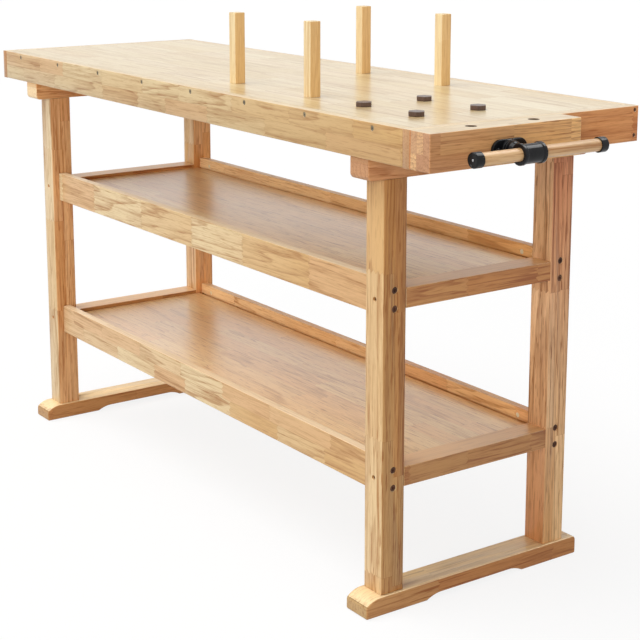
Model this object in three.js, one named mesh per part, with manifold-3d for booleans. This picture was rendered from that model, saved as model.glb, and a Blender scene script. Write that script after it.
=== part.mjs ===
// A woodworking bench with an end vise, two tray shelves, four square posts and four low dogs.
// Millimetres, +Z up. The origin is on the floor, under the middle of the bench's overall box.
import * as THREE from 'three';
import { mergeVertices } from 'three/addons/utils/BufferGeometryUtils.js';
import Module from 'manifold-3d';

const wasm = await Module();
wasm.setup();

// Bench top: a glued-up panel framed by four aprons
const topLength = 1524;
const topDepth = 500;
const benchHeight = 857;
const panelThickness = 18;
const apronHeight = 62;
const apronThickness = 18;

// End frames: a foot, two legs, two end rails and a bearer on each side
const legWidth = 48;
const legDepth = 48;
const legEndInset = 114;
const legFrontInset = 39;
const footWidth = 60;
const footHeight = 34;
const toeSetback = 4;
const heelSetback = 8;
const toeFaceHeight = 21;
const toeRadius = 44;
const heelRadius = 8;
const archLength = 222;
const archRun = 32;
const archDepth = 8.5;
const bearerWidth = 51;
const bearerHeight = 37;
const bearerSetback = 5.5;
const bearerEndRadius = 9;
const legTenonWidth = 24;
const legTenonDepth = 28;
const legTenonLength = 18;

// Shelves: long rails bolted between the legs, with a panel let into their inner faces
const railThickness = 18;
const railHeight = 63;
const lowerRailBottom = 208;
const upperRailBottom = 522;
const endRailHeight = 35;
const endRailRise = 13.5;
const railTenonWidth = 20;
const railTenonHeight = 22;
const railTenonLength = 16;
const shelfThickness = 15;
const shelfRise = 40;
const shelfGroove = 6;

// Connector bolts through the legs into the ends of the long rails, each with a barrel nut hole
const boltDiameter = 6;
const boltLength = 92;
const boltSpacing = 32;
const boltHeadDiameter = 12;
const boltHeadHeight = 5;
const boltHeadRecess = 1.2;
const barrelNutDiameter = 10;
const barrelNutInset = 45;
const barrelNutDepth = 14;

// Bench dogs and posts: round shanks in holes through the top
const dogHoleDiameter = 19;
const shankLength = 40;
const dogAcrossFlats = 26;
const dogHeadHeight = 8;
const dogTurn = 20;
const postSide = 22;
const postHeight = 135;
const frontRow = 105;
const middleRow = 237;
const backRow = 405;
const nearDogColumn = 116;
const farDogColumn = 260;
const nearPostColumn = 415;
const farPostColumn = 666;

// End vise: a laminated jaw on a screw and two guide rods
const jawThickness = 48.6;
const jawLength = 317;
const jawHeight = 62;
const jawHoleInset = 20.5;
const jawTravel = 121.5;
const viseAxisDrop = 38;
const screwDiameter = 18;
const screwOverrun = 10;
const guideRodDiameter = 14;
const guideRodSocket = 34;
const guideBlockThickness = 60;
const guideRodInset = 23.5;
const guideRodClearance = 6.5;
const guideBlockHeight = 42;
const nutPlateWidth = 64;
const nutPlateHeight = 34;
const nutPlateThickness = 6;
const nutBossDiameter = 30;
const nutBossLength = 24;
const shoulderDiameter = 30;
const shoulderThickness = 8;
const flangeLength = 74;
const flangeHeight = 35;
const flangeThickness = 5;
const flangeBossDiameter = 32;
const flangeBossHeight = 6;
const flangeScrewSpacing = 54;
const flangeScrewDiameter = 5;
const flangeScrewLength = 26;
const flangeScrewHeadDiameter = 9;
const flangeScrewHeadHeight = 2.6;
const hubOffset = 50;
const hubNeckDiameter = 25;
const hubFlareDiameter = 30;
const hubFlareLength = 5;
const hubSocketDepth = 14;
const sleeveLength = 46;
const sleeveDiameter = 32;
const sleeveRingDiameter = 35;
const sleeveRingWidth = 6;
const handleDiameter = 21;
const handleLength = 277;
const handleShift = 22;
const capDiameter = 25.5;
const capLength = 15.5;
const capWall = 4;
const capChamfer = 2;

// Fits
const seatGap = 0.3;
const slipFit = 0.3;
const overcut = 5;
const roundSides = 24;
const smallSides = 12;

// Heights and places that follow from the sizes above
const footLength = topDepth - toeSetback - heelSetback;
const bearerLength = topDepth - 2 * bearerSetback;
const apronBottom = benchHeight - apronHeight;
const panelBottom = benchHeight - panelThickness;
const bearerTop = apronBottom - seatGap;
const bearerBottom = bearerTop - bearerHeight;
const legBottom = footHeight + seatGap;
const legTop = bearerBottom - seatGap;
const leftLegX = legEndInset + legWidth / 2;
const rightLegX = topLength - legEndInset - legWidth / 2;
const frontLegY = legFrontInset + legDepth / 2;
const backLegY = topDepth - legFrontInset - legDepth / 2;
const railStart = leftLegX + legWidth / 2 + seatGap;
const railEnd = rightLegX - legWidth / 2 - seatGap;
const endRailStart = frontLegY + legDepth / 2 + seatGap;
const endRailEnd = backLegY - legDepth / 2 - seatGap;
const endRailMiddle = endRailRise + endRailHeight / 2;
const boltRises = [(railHeight - boltSpacing) / 2, (railHeight + boltSpacing) / 2];
const counterbore = boltHeadHeight + boltHeadRecess + seatGap;
const viseY = jawLength / 2;
const viseZ = benchHeight - viseAxisDrop;
const backRodY = middleRow + dogHoleDiameter / 2 + guideRodClearance + guideRodDiameter / 2;
const guideRodSpread = 2 * (backRodY - viseY);
const guideBlockLength = guideRodSpread + 2 * guideRodInset;
const guideBlockOuter = topLength - apronThickness - seatGap;
const guideBlockInner = guideBlockOuter - guideBlockThickness;
const nutPlateOuter = guideBlockInner - seatGap;
const nutInner = nutPlateOuter - nutPlateThickness - nutBossLength;
const jawInner = seatGap;
const jawOuter = jawInner + jawThickness;
const flangeInner = jawOuter + seatGap;
const flangeOuter = flangeInner + flangeThickness + flangeBossHeight;
const hubInner = flangeOuter + seatGap;
const handleX = jawOuter + hubOffset;
const overallLength = topLength + handleX + sleeveRingDiameter / 2;
const shelfLevels = { upper: upperRailBottom, lower: lowerRailBottom };
const shankDiameter = dogHoleDiameter - 2 * slipFit;

// Finishes
const paleWood = { color: 0xe9d2a8, roughness: 0.42, metalness: 0 };
const honeyWood = { color: 0xd9b27c, roughness: 0.45, metalness: 0 };
const amberWood = { color: 0xc89660, roughness: 0.45, metalness: 0 };
const darkWood = { color: 0x4a3329, roughness: 0.5, metalness: 0 };
const blackMetal = { color: 0x1b1b1d, roughness: 0.38, metalness: 0.6 };
const brightSteel = { color: 0xa9abad, roughness: 0.32, metalness: 1 };
const bronzeSteel = { color: 0x4b3426, roughness: 0.45, metalness: 0.8 };
const blackPlastic = { color: 0x18181a, roughness: 0.5, metalness: 0 };

// Solids
function toSolid(geometry) {
  const bare = geometry.clone();
  bare.deleteAttribute('normal');
  bare.deleteAttribute('uv');
  const merged = mergeVertices(bare, 1e-4);
  const vertProperties = new Float32Array(merged.attributes.position.array);
  const triVerts = new Uint32Array(merged.index.array);
  return new wasm.Manifold(new wasm.Mesh({ numProp: 3, vertProperties, triVerts }));
}

function toGeometry(solid) {
  const { numProp, vertProperties, triVerts } = solid.getMesh();
  const positions = new Float32Array((vertProperties.length / numProp) * 3);
  for (let i = 0; i < positions.length / 3; i += 1) {
    positions.set(vertProperties.slice(i * numProp, i * numProp + 3), i * 3);
  }
  const geometry = new THREE.BufferGeometry();
  geometry.setAttribute('position', new THREE.BufferAttribute(positions, 3));
  geometry.setIndex(new THREE.BufferAttribute(new Uint32Array(triVerts), 1));
  const flat = geometry.toNonIndexed();
  flat.computeVertexNormals();
  return flat;
}

// Block between two opposite corners
function block(low, high) {
  const size = high.map((value, i) => value - low[i]);
  const middle = high.map((value, i) => (value + low[i]) / 2);
  return new THREE.BoxGeometry(...size).translate(...middle);
}

// Round bar along one axis, from one place on it to another
function bar(axis, diameter, from, to, centre = [0, 0], sides = roundSides) {
  const geometry = new THREE.CylinderGeometry(diameter / 2, diameter / 2, to - from, sides);
  geometry.translate(0, (from + to) / 2, 0);
  return turnTo(axis, geometry, centre);
}

// Turns a shape made along Y to lie along the named axis, then moves it sideways
function turnTo(axis, geometry, centre) {
  if (axis === 'x') {
    return geometry.rotateZ(-Math.PI / 2).translate(0, centre[0], centre[1]);
  }
  if (axis === 'z') {
    return geometry.rotateX(Math.PI / 2).translate(centre[0], centre[1], 0);
  }
  return geometry.translate(centre[0], 0, centre[1]);
}

// Round piece from a list of [radius, place along the axis]
function turned(axis, profile, sides = roundSides) {
  const points = profile.map(([radius, along]) => new THREE.Vector2(radius, along));
  return turnTo(axis, new THREE.LatheGeometry(points, sides), [0, 0]);
}

// Side outline, drawn as [depth, height], pushed out along the bench's length
function profileAlongX(shape, width, curveSegments = 8) {
  const geometry = new THREE.ExtrudeGeometry(shape, { depth: width, bevelEnabled: false, curveSegments });
  const basis = new THREE.Matrix4().makeBasis(
    new THREE.Vector3(0, 1, 0),
    new THREE.Vector3(0, 0, 1),
    new THREE.Vector3(1, 0, 0),
  );
  return geometry.applyMatrix4(basis).translate(-width / 2, 0, 0);
}

function cut(geometry, tools) {
  const solid = tools.reduce((rest, tool) => rest.subtract(toSolid(tool)), toSolid(geometry));
  return toGeometry(solid);
}

function join(geometries) {
  const [first, ...others] = geometries.map(toSolid);
  return toGeometry(others.reduce((sum, solid) => sum.add(solid), first));
}

function place(group, name, geometry, finish, position = [0, 0, 0]) {
  const mesh = new THREE.Mesh(geometry, new THREE.MeshStandardMaterial(finish));
  mesh.name = name;
  mesh.position.set(...position);
  group.add(mesh);
}

// Pieces of the top
function makeTop(group) {
  const panelStart = apronThickness + seatGap;
  const panel = block(
    [panelStart, panelStart, panelBottom],
    [topLength - panelStart, topDepth - panelStart, benchHeight],
  );
  const holes = pegPlaces().map(({ x, y }) => (
    bar('z', dogHoleDiameter, panelBottom - overcut, benchHeight + overcut, [x, y])
  ));
  place(group, 'top_panel', cut(panel, holes), paleWood);

  const longApron = block([panelStart, 0, 0], [topLength - panelStart, apronThickness, apronHeight]);
  place(group, 'front_apron', longApron, honeyWood, [0, 0, apronBottom]);
  place(group, 'back_apron', longApron.clone(), honeyWood, [0, topDepth - apronThickness, apronBottom]);

  const endApron = block([0, 0, apronBottom], [apronThickness, topDepth, benchHeight]);
  place(group, 'left_end_apron', endApron, honeyWood);
  const drilled = cut(endApron, [
    bar('x', screwDiameter + 2 * slipFit, -overcut, apronThickness + overcut, [viseY, viseZ]),
    ...guideRodPlaces().map((y) => (
      bar('x', guideRodDiameter + 2 * slipFit, -overcut, apronThickness + overcut, [y, viseZ])
    )),
  ]);
  place(group, 'right_end_apron', drilled, amberWood, [topLength - apronThickness, 0, 0]);
}

function guideRodPlaces() {
  return [viseY - guideRodSpread / 2, viseY + guideRodSpread / 2];
}

// Where the dogs and posts stand, measured from the bench's left front corner
function pegPlaces() {
  const dogs = { left: farDogColumn, right: nearDogColumn };
  const posts = { left: farPostColumn, right: nearPostColumn };
  const rows = [
    ['dog', dogs, { front: frontRow, back: middleRow }],
    ['post', posts, { front: frontRow, back: backRow }],
  ];
  return rows.flatMap(([kind, columns, depths]) => (
    Object.entries(depths).flatMap(([rowName, y]) => (
      Object.entries(columns).map(([columnName, inset]) => (
        { kind, name: `${rowName}_${columnName}_${kind}`, x: topLength - inset, y }
      ))
    ))
  ));
}

// Square socket for a tenon: the tenon's own size and the gap round it
function socket(low, high) {
  return block(low.map((value) => value - seatGap), high.map((value) => value + seatGap));
}

// Leg with a tenon at each end, end rail mortises on its inner side and bolt holes from its outer face
function makeLeg(outward, inward) {
  const halfWidth = legWidth / 2;
  const halfDepth = legDepth / 2;
  const blank = join([
    block([-halfWidth, -halfDepth, legBottom], [halfWidth, halfDepth, legTop]),
    block(
      [-legTenonWidth / 2, -legTenonDepth / 2, legBottom - legTenonLength],
      [legTenonWidth / 2, legTenonDepth / 2, legTop + legTenonLength],
    ),
  ]);
  const tools = Object.values(shelfLevels).flatMap((railBottom) => {
    const tenonReach = [halfDepth - railTenonLength, halfDepth + overcut].map((y) => y * inward);
    const middle = railBottom + endRailMiddle;
    const mortise = socket(
      [-railTenonWidth / 2, Math.min(...tenonReach), middle - railTenonHeight / 2],
      [railTenonWidth / 2, Math.max(...tenonReach), middle + railTenonHeight / 2],
    );
    const bolts = boltRises.flatMap((rise) => {
      const headReach = [halfWidth - counterbore, halfWidth + overcut].map((x) => x * outward);
      const centre = [0, railBottom + rise];
      const shaft = bar(
        'x',
        boltDiameter + 2 * slipFit,
        -halfWidth - overcut,
        halfWidth + overcut,
        centre,
        smallSides,
      );
      const head = bar(
        'x',
        boltHeadDiameter + 2 * slipFit,
        Math.min(...headReach),
        Math.max(...headReach),
        centre,
        smallSides,
      );
      return [shaft, head];
    });
    return [mortise, ...bolts];
  });
  return cut(blank, tools);
}

// Mortise for a leg tenon, from the mouth of the mortise inwards
function legMortise(y, mouth, direction) {
  const ends = [mouth + direction * legTenonLength, mouth - direction * overcut];
  return socket(
    [-legTenonWidth / 2, y - legTenonDepth / 2, Math.min(...ends)],
    [legTenonWidth / 2, y + legTenonDepth / 2, Math.max(...ends)],
  );
}

// Foot: a long rounded toe, a short rounded heel and a shallow arch under the middle
function makeFoot() {
  const toeDrop = footHeight - toeFaceHeight;
  const toeRun = Math.sqrt(toeRadius ** 2 - (toeRadius - toeDrop) ** 2);
  const archStart = (footLength - archLength) / 2;
  const archEnd = archStart + archLength;
  const outline = new THREE.Shape();
  outline.moveTo(0, 0);
  outline.lineTo(archStart, 0);
  outline.quadraticCurveTo(archStart + archRun / 2, archDepth, archStart + archRun, archDepth);
  outline.lineTo(archEnd - archRun, archDepth);
  outline.quadraticCurveTo(archEnd - archRun / 2, archDepth, archEnd, 0);
  outline.lineTo(footLength, 0);
  outline.lineTo(footLength, footHeight - heelRadius);
  outline.absarc(footLength - heelRadius, footHeight - heelRadius, heelRadius, 0, Math.PI / 2, false);
  outline.lineTo(toeRun, footHeight);
  const toeEnd = Math.PI - Math.asin((toeRadius - toeDrop) / toeRadius);
  outline.absarc(toeRun, footHeight - toeRadius, toeRadius, Math.PI / 2, toeEnd, false);
  outline.closePath();
  const blank = profileAlongX(outline, footWidth).translate(0, toeSetback, 0);
  return cut(blank, [frontLegY, backLegY].map((y) => legMortise(y, legBottom, -1)));
}

// Bearer: carries the aprons on the legs, with its lower ends rounded
function makeBearer() {
  const radius = bearerEndRadius;
  const outline = new THREE.Shape();
  outline.moveTo(radius, 0);
  outline.lineTo(bearerLength - radius, 0);
  outline.absarc(bearerLength - radius, radius, radius, -Math.PI / 2, 0, false);
  outline.lineTo(bearerLength, bearerHeight);
  outline.lineTo(0, bearerHeight);
  outline.lineTo(0, radius);
  outline.absarc(radius, radius, radius, Math.PI, Math.PI * 1.5, false);
  outline.closePath();
  const blank = profileAlongX(outline, bearerWidth).translate(0, bearerSetback, bearerBottom);
  return cut(blank, [frontLegY, backLegY].map((y) => legMortise(y, legTop, 1)));
}

// End rail: as wide as the legs, tenoned between them
function makeEndRail() {
  const middle = endRailHeight / 2;
  return join([
    block([-legWidth / 2, endRailStart, 0], [legWidth / 2, endRailEnd, endRailHeight]),
    block(
      [-railTenonWidth / 2, endRailStart - railTenonLength + seatGap, middle - railTenonHeight / 2],
      [railTenonWidth / 2, endRailEnd + railTenonLength - seatGap, middle + railTenonHeight / 2],
    ),
  ]);
}

function makeEndFrames(group) {
  const sides = { left: { x: leftLegX, outward: -1 }, right: { x: rightLegX, outward: 1 } };
  const depths = { front: { y: frontLegY, inward: 1 }, back: { y: backLegY, inward: -1 } };
  for (const [side, { x, outward }] of Object.entries(sides)) {
    place(group, `${side}_foot`, makeFoot(), honeyWood, [x, 0, 0]);
    place(group, `${side}_bearer`, makeBearer(), amberWood, [x, 0, 0]);
    for (const [depth, { y, inward }] of Object.entries(depths)) {
      place(group, `${depth}_${side}_leg`, makeLeg(outward, inward), honeyWood, [x, y, 0]);
    }
    for (const [level, railBottom] of Object.entries(shelfLevels)) {
      place(group, `${level}_${side}_end_rail`, makeEndRail(), amberWood, [x, 0, railBottom + endRailRise]);
    }
  }
}

// Long rail: a groove for the shelf, bolt holes in its ends and blind cross holes for the barrel nuts
function makeRail(inward) {
  const half = railThickness / 2;
  const grooveReach = [half - shelfGroove, half + overcut].map((y) => y * inward);
  const nutReach = [half - barrelNutDepth, half + overcut].map((y) => y * inward);
  const boltEnd = boltLength - (legWidth - counterbore) + overcut;
  const tools = boltRises.flatMap((rise) => (
    [[railStart, 1], [railEnd, -1]].flatMap(([end, direction]) => {
      const reach = [end - direction * overcut, end + direction * boltEnd];
      const nutX = end + direction * barrelNutInset;
      const drill = boltDiameter + 2 * slipFit;
      return [
        bar('x', drill, Math.min(...reach), Math.max(...reach), [0, rise], smallSides),
        bar('y', barrelNutDiameter, Math.min(...nutReach), Math.max(...nutReach), [nutX, rise], smallSides),
      ];
    })
  ));
  const groove = block(
    [railStart - overcut, Math.min(...grooveReach), shelfRise - shelfThickness - seatGap],
    [railEnd + overcut, Math.max(...grooveReach), shelfRise + seatGap],
  );
  return cut(block([railStart, -half, 0], [railEnd, half, railHeight]), [groove, ...tools]);
}

function makeBolt(outward) {
  const profile = [
    [0, -boltLength],
    [boltDiameter / 2, -boltLength],
    [boltDiameter / 2, 0],
    [boltHeadDiameter / 2, 0],
    [boltHeadDiameter / 2, boltHeadHeight],
    [0, boltHeadHeight],
  ];
  const bolt = turned('x', profile, smallSides);
  return outward > 0 ? bolt : bolt.rotateZ(Math.PI);
}

function makeShelves(group) {
  const rows = { front: { y: frontLegY, inward: 1 }, back: { y: backLegY, inward: -1 } };
  const outerFaces = { left: [leftLegX - legWidth / 2, -1], right: [rightLegX + legWidth / 2, 1] };
  const grooveFloor = railThickness / 2 - shelfGroove + seatGap;
  for (const [level, railBottom] of Object.entries(shelfLevels)) {
    for (const [row, { y, inward }] of Object.entries(rows)) {
      place(group, `${level}_${row}_rail`, makeRail(inward), honeyWood, [0, y, railBottom]);
      for (const [side, [face, outward]] of Object.entries(outerFaces)) {
        boltRises.forEach((rise, i) => {
          const name = `${level}_${row}_${side}_bolt_${i + 1}`;
          const seat = face - outward * (boltHeadRecess + boltHeadHeight);
          place(group, name, makeBolt(outward), bronzeSteel, [seat, y, railBottom + rise]);
        });
      }
    }
    const shelf = block(
      [railStart, frontLegY + grooveFloor, -shelfThickness],
      [railEnd, backLegY - grooveFloor, 0],
    );
    place(group, `${level}_shelf`, shelf, amberWood, [0, 0, railBottom + shelfRise]);
  }
}

// Dogs and posts: each stands on the top, on a round shank in its hole
function makeDog() {
  const head = new THREE.CylinderGeometry(1, 1, dogHeadHeight, 6)
    .scale(dogAcrossFlats / Math.sqrt(3), 1, dogAcrossFlats / Math.sqrt(3))
    .rotateX(Math.PI / 2)
    .rotateZ(THREE.MathUtils.degToRad(dogTurn - 90))
    .translate(0, 0, seatGap + dogHeadHeight / 2);
  return join([head, bar('z', shankDiameter, -shankLength, seatGap + dogHeadHeight / 2)]);
}

function makePost() {
  const half = postSide / 2;
  return join([
    block([-half, -half, seatGap], [half, half, seatGap + postHeight]),
    bar('z', shankDiameter, -shankLength, seatGap + half),
  ]);
}

function makePegs(group) {
  for (const { kind, name, x, y } of pegPlaces()) {
    const dog = kind === 'dog';
    place(group, name, dog ? makeDog() : makePost(), dog ? darkWood : honeyWood, [x, y, benchHeight]);
  }
}

// Fixed half of the vise: guide block behind the end apron, with the nut on its inner face
function makeGuide(group) {
  const top = panelBottom - seatGap;
  const guide = cut(
    block(
      [guideBlockInner, viseY - guideBlockLength / 2, top - guideBlockHeight],
      [guideBlockOuter, viseY + guideBlockLength / 2, top],
    ),
    [
      bar('x', screwDiameter + 2 * slipFit, guideBlockInner - overcut, topLength, [viseY, viseZ]),
      ...guideRodPlaces().map((y) => (
        bar('x', guideRodDiameter + 2 * slipFit, guideBlockInner - overcut, topLength, [y, viseZ])
      )),
    ],
  );
  place(group, 'guide_block', guide, honeyWood);

  const plateInner = nutPlateOuter - nutPlateThickness;
  const nut = join([
    block(
      [plateInner, -nutPlateWidth / 2, -nutPlateHeight / 2],
      [nutPlateOuter, nutPlateWidth / 2, nutPlateHeight / 2],
    ),
    bar('x', nutBossDiameter, nutInner, nutPlateOuter),
  ]);
  const bore = bar('x', screwDiameter + 2 * slipFit, nutInner - overcut, nutPlateOuter + overcut);
  place(group, 'vise_nut', cut(nut, [bore]), blackMetal, [0, viseY, viseZ]);
}

// Moving half of the vise, about the screw's axis, with X measured out from the end of the bench
function makeVise(vise) {
  const rodOffsets = [-guideRodSpread / 2, guideRodSpread / 2];
  const jawLow = viseAxisDrop - jawHeight;
  const recessDepth = shoulderThickness + 2 * seatGap;
  const bore = screwDiameter + 2 * slipFit;
  const jaw = cut(
    block([jawInner, -jawLength / 2, jawLow], [jawOuter, jawLength / 2, viseAxisDrop]),
    [
      bar('x', bore, -overcut, jawOuter + overcut),
      bar('x', shoulderDiameter + 2 * slipFit, -overcut, jawInner + recessDepth),
      ...rodOffsets.map((y) => (
        bar('x', guideRodDiameter + 2 * slipFit, -overcut, jawInner + guideRodSocket + seatGap, [y, 0])
      )),
      ...flangeScrewOffsets().map((y) => (
        bar(
          'x',
          flangeScrewDiameter + 2 * slipFit,
          flangeInner + flangeThickness - flangeScrewLength - seatGap,
          jawOuter + overcut,
          [y, 0],
          smallSides,
        )
      )),
      ...[frontRow, middleRow].map((row) => (
        bar(
          'z',
          dogHoleDiameter,
          jawLow - overcut,
          viseAxisDrop + overcut,
          [jawInner + jawHoleInset, row - viseY],
        )
      )),
    ],
  );
  place(vise, 'vise_jaw', jaw, amberWood);

  const rodEnd = guideBlockInner - topLength - jawTravel - screwOverrun;
  const rod = bar('x', guideRodDiameter, rodEnd, jawInner + guideRodSocket);
  place(vise, 'front_guide_rod', rod, brightSteel, [0, rodOffsets[0], 0]);
  place(vise, 'back_guide_rod', rod.clone(), brightSteel, [0, rodOffsets[1], 0]);

  // The screw carries a shoulder that pulls the jaw open from inside its recess
  const screwEnd = nutInner - topLength - jawTravel - screwOverrun;
  const screwHead = hubInner + hubSocketDepth - seatGap;
  const shoulderInner = jawInner + seatGap;
  const screw = turned('x', [
    [0, screwEnd],
    [screwDiameter / 2, screwEnd],
    [screwDiameter / 2, shoulderInner],
    [shoulderDiameter / 2, shoulderInner],
    [shoulderDiameter / 2, shoulderInner + shoulderThickness],
    [screwDiameter / 2, shoulderInner + shoulderThickness],
    [screwDiameter / 2, screwHead],
    [0, screwHead],
  ]);
  place(vise, 'vise_screw', screw, brightSteel);
  place(vise, 'vise_flange', makeFlange(bore), blackMetal);
  flangeScrewOffsets().forEach((y, i) => {
    const seat = flangeInner + flangeThickness + seatGap;
    place(vise, `flange_screw_${i + 1}`, makeFlangeScrew(), blackMetal, [seat, y, 0]);
  });
  place(vise, 'vise_hub', makeHub(bore), blackMetal, [handleX, 0, 0]);
}

function flangeScrewOffsets() {
  return [-flangeScrewSpacing / 2, flangeScrewSpacing / 2];
}

// Flange: a plate with round ends and a round boss that the screw turns in
function makeFlange(bore) {
  const radius = flangeHeight / 2;
  const straight = flangeLength / 2 - radius;
  const outline = new THREE.Shape();
  outline.moveTo(-straight, -radius);
  outline.lineTo(straight, -radius);
  outline.absarc(straight, 0, radius, -Math.PI / 2, Math.PI / 2, false);
  outline.lineTo(-straight, radius);
  outline.absarc(-straight, 0, radius, Math.PI / 2, Math.PI * 1.5, false);
  outline.closePath();
  const plateMiddle = flangeInner + flangeThickness / 2;
  const plate = profileAlongX(outline, flangeThickness, 12).translate(plateMiddle, 0, 0);
  const boss = bar('x', flangeBossDiameter, flangeInner, flangeOuter);
  return cut(join([plate, boss]), [
    bar('x', bore, flangeInner - overcut, flangeOuter + overcut),
    ...flangeScrewOffsets().map((y) => (
      bar(
        'x',
        flangeScrewDiameter + 2 * slipFit,
        flangeInner - overcut,
        flangeOuter + overcut,
        [y, 0],
        smallSides,
      )
    )),
  ]);
}

function makeFlangeScrew() {
  const profile = [
    [0, -flangeScrewLength],
    [flangeScrewDiameter / 2, -flangeScrewLength],
    [flangeScrewDiameter / 2, 0],
    [flangeScrewHeadDiameter / 2, 0],
    [flangeScrewHeadDiameter / 4, flangeScrewHeadHeight],
    [0, flangeScrewHeadHeight],
  ];
  return turned('x', profile, smallSides);
}

// Hub: a cross sleeve for the handle on a flared neck that holds the end of the screw
function makeHub(bore) {
  const neckStart = hubInner - handleX;
  const neck = turned('x', [
    [0, neckStart],
    [hubFlareDiameter / 2, neckStart],
    [hubFlareDiameter / 2, neckStart + hubFlareLength],
    [hubNeckDiameter / 2, neckStart + 2 * hubFlareLength],
    [hubNeckDiameter / 2, 0],
    [0, 0],
  ]);
  const half = sleeveLength / 2;
  const body = join([
    neck,
    bar('y', sleeveDiameter, -half, half),
    bar('y', sleeveRingDiameter, -half, -half + sleeveRingWidth),
    bar('y', sleeveRingDiameter, half - sleeveRingWidth, half),
  ]);
  return cut(body, [
    bar('y', handleDiameter + 2 * slipFit, -half - overcut, half + overcut),
    bar('x', bore, neckStart - overcut, neckStart + hubSocketDepth),
  ]);
}

// Handle: a dowel through the sleeve, closed by a cup on each end
function makeHandle(handle) {
  const half = handleLength / 2;
  const dowelHalf = half - capWall - seatGap;
  place(handle, 'vise_handle', bar('y', handleDiameter, -dowelHalf, dowelHalf), honeyWood);
  const cupRadius = handleDiameter / 2 + slipFit;
  const outer = capDiameter / 2;
  const profile = [
    [0, half - capWall],
    [cupRadius, half - capWall],
    [cupRadius, half - capLength],
    [outer, half - capLength],
    [outer, half - capChamfer],
    [outer - capChamfer, half],
    [0, half],
  ];
  const cap = turned('y', profile);
  place(handle, 'back_handle_cap', cap, blackPlastic);
  place(handle, 'front_handle_cap', cap.clone().rotateZ(Math.PI), blackPlastic);
}

const workbench = new THREE.Group();
const bench = new THREE.Group();
bench.position.set(-overallLength / 2, -topDepth / 2, 0);
workbench.add(bench);
makeTop(bench);
makeEndFrames(bench);
makeShelves(bench);
makePegs(bench);
makeGuide(bench);

const vise = new THREE.Group();
vise.position.set(topLength, viseY, viseZ);
bench.add(vise);
makeVise(vise);

const handle = new THREE.Group();
handle.position.set(handleX, handleShift, 0);
vise.add(handle);
makeHandle(handle);

export default workbench;
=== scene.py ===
import math
import bmesh
import bpy
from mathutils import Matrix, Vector


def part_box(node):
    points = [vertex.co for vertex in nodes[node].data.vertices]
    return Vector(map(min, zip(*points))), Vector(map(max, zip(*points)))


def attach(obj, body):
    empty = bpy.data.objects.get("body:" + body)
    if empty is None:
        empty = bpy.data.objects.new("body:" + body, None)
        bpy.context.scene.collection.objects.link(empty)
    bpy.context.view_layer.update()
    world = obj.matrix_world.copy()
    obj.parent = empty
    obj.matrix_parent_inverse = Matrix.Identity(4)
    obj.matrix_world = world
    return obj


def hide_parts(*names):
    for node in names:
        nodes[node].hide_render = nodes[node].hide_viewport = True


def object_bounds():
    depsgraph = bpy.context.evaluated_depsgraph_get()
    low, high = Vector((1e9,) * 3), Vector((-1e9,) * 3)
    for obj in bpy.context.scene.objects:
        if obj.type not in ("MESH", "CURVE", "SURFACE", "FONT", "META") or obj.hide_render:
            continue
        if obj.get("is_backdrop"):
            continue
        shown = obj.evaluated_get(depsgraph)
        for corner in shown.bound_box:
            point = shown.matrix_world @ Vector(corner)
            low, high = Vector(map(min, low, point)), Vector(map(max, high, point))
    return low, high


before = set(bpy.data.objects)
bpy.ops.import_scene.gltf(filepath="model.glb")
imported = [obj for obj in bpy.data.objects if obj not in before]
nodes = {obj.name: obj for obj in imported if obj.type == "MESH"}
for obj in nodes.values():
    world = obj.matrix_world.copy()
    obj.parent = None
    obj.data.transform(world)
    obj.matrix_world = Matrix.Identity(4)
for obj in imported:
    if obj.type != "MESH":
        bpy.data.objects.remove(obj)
cadLow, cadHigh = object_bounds()
scene = bpy.context.scene
mm = 0.001
print("frame loaded:", len(nodes), "nodes")


# node helpers

def feed(tree, socket, value):
    if isinstance(value, bpy.types.NodeSocket):
        tree.links.new(value, socket)
    else:
        socket.default_value = value


def put(tree, kind, values=None, **settings):
    node = tree.nodes.new(kind)
    for name, value in settings.items():
        setattr(node, name, value)
    for key, value in (values or {}).items():
        feed(tree, node.inputs[key], value)
    return node


def calc(tree, operation, *values, clamp=False):
    node = put(tree, "ShaderNodeMath", operation=operation, use_clamp=clamp)
    for i, value in enumerate(values):
        feed(tree, node.inputs[i], value)
    return node.outputs[0]


def ramp(tree, value, low, high, toLow=0.0, toHigh=1.0):
    values = {0: value, 1: low, 2: high, 3: toLow, 4: toHigh}
    return put(tree, "ShaderNodeMapRange", values, interpolation_type="SMOOTHSTEP").outputs[0]


def mixColour(tree, factor, first, second, mode="MIX", clamp=True):
    values = {0: factor, 6: first, 7: second}
    node = put(tree, "ShaderNodeMix", values, data_type="RGBA", blend_type=mode, clamp_factor=clamp)
    return node.outputs[2]


def vector(tree, x, y, z):
    return put(tree, "ShaderNodeCombineXYZ", {0: x, 1: y, 2: z}).outputs[0]


def noise(tree, place, detail, roughness=0.5):
    values = {"Vector": place, "Scale": 1.0, "Detail": detail, "Roughness": roughness}
    return put(tree, "ShaderNodeTexNoise", values).outputs[0]


def newGroup(name, inputs, outputs):
    tree = bpy.data.node_groups.new(name, "ShaderNodeTree")
    for label, value in inputs.items():
        kind = "NodeSocketColor" if isinstance(value, tuple) else "NodeSocketFloat"
        socket = tree.interface.new_socket(name=label, in_out="INPUT", socket_type=kind)
        socket.default_value = value
    for label in outputs:
        kind = "NodeSocketColor" if label == "Color" else "NodeSocketFloat"
        tree.interface.new_socket(name=label, in_out="OUTPUT", socket_type=kind)
    return tree, tree.nodes.new("NodeGroupInput").outputs, tree.nodes.new("NodeGroupOutput").inputs


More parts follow.
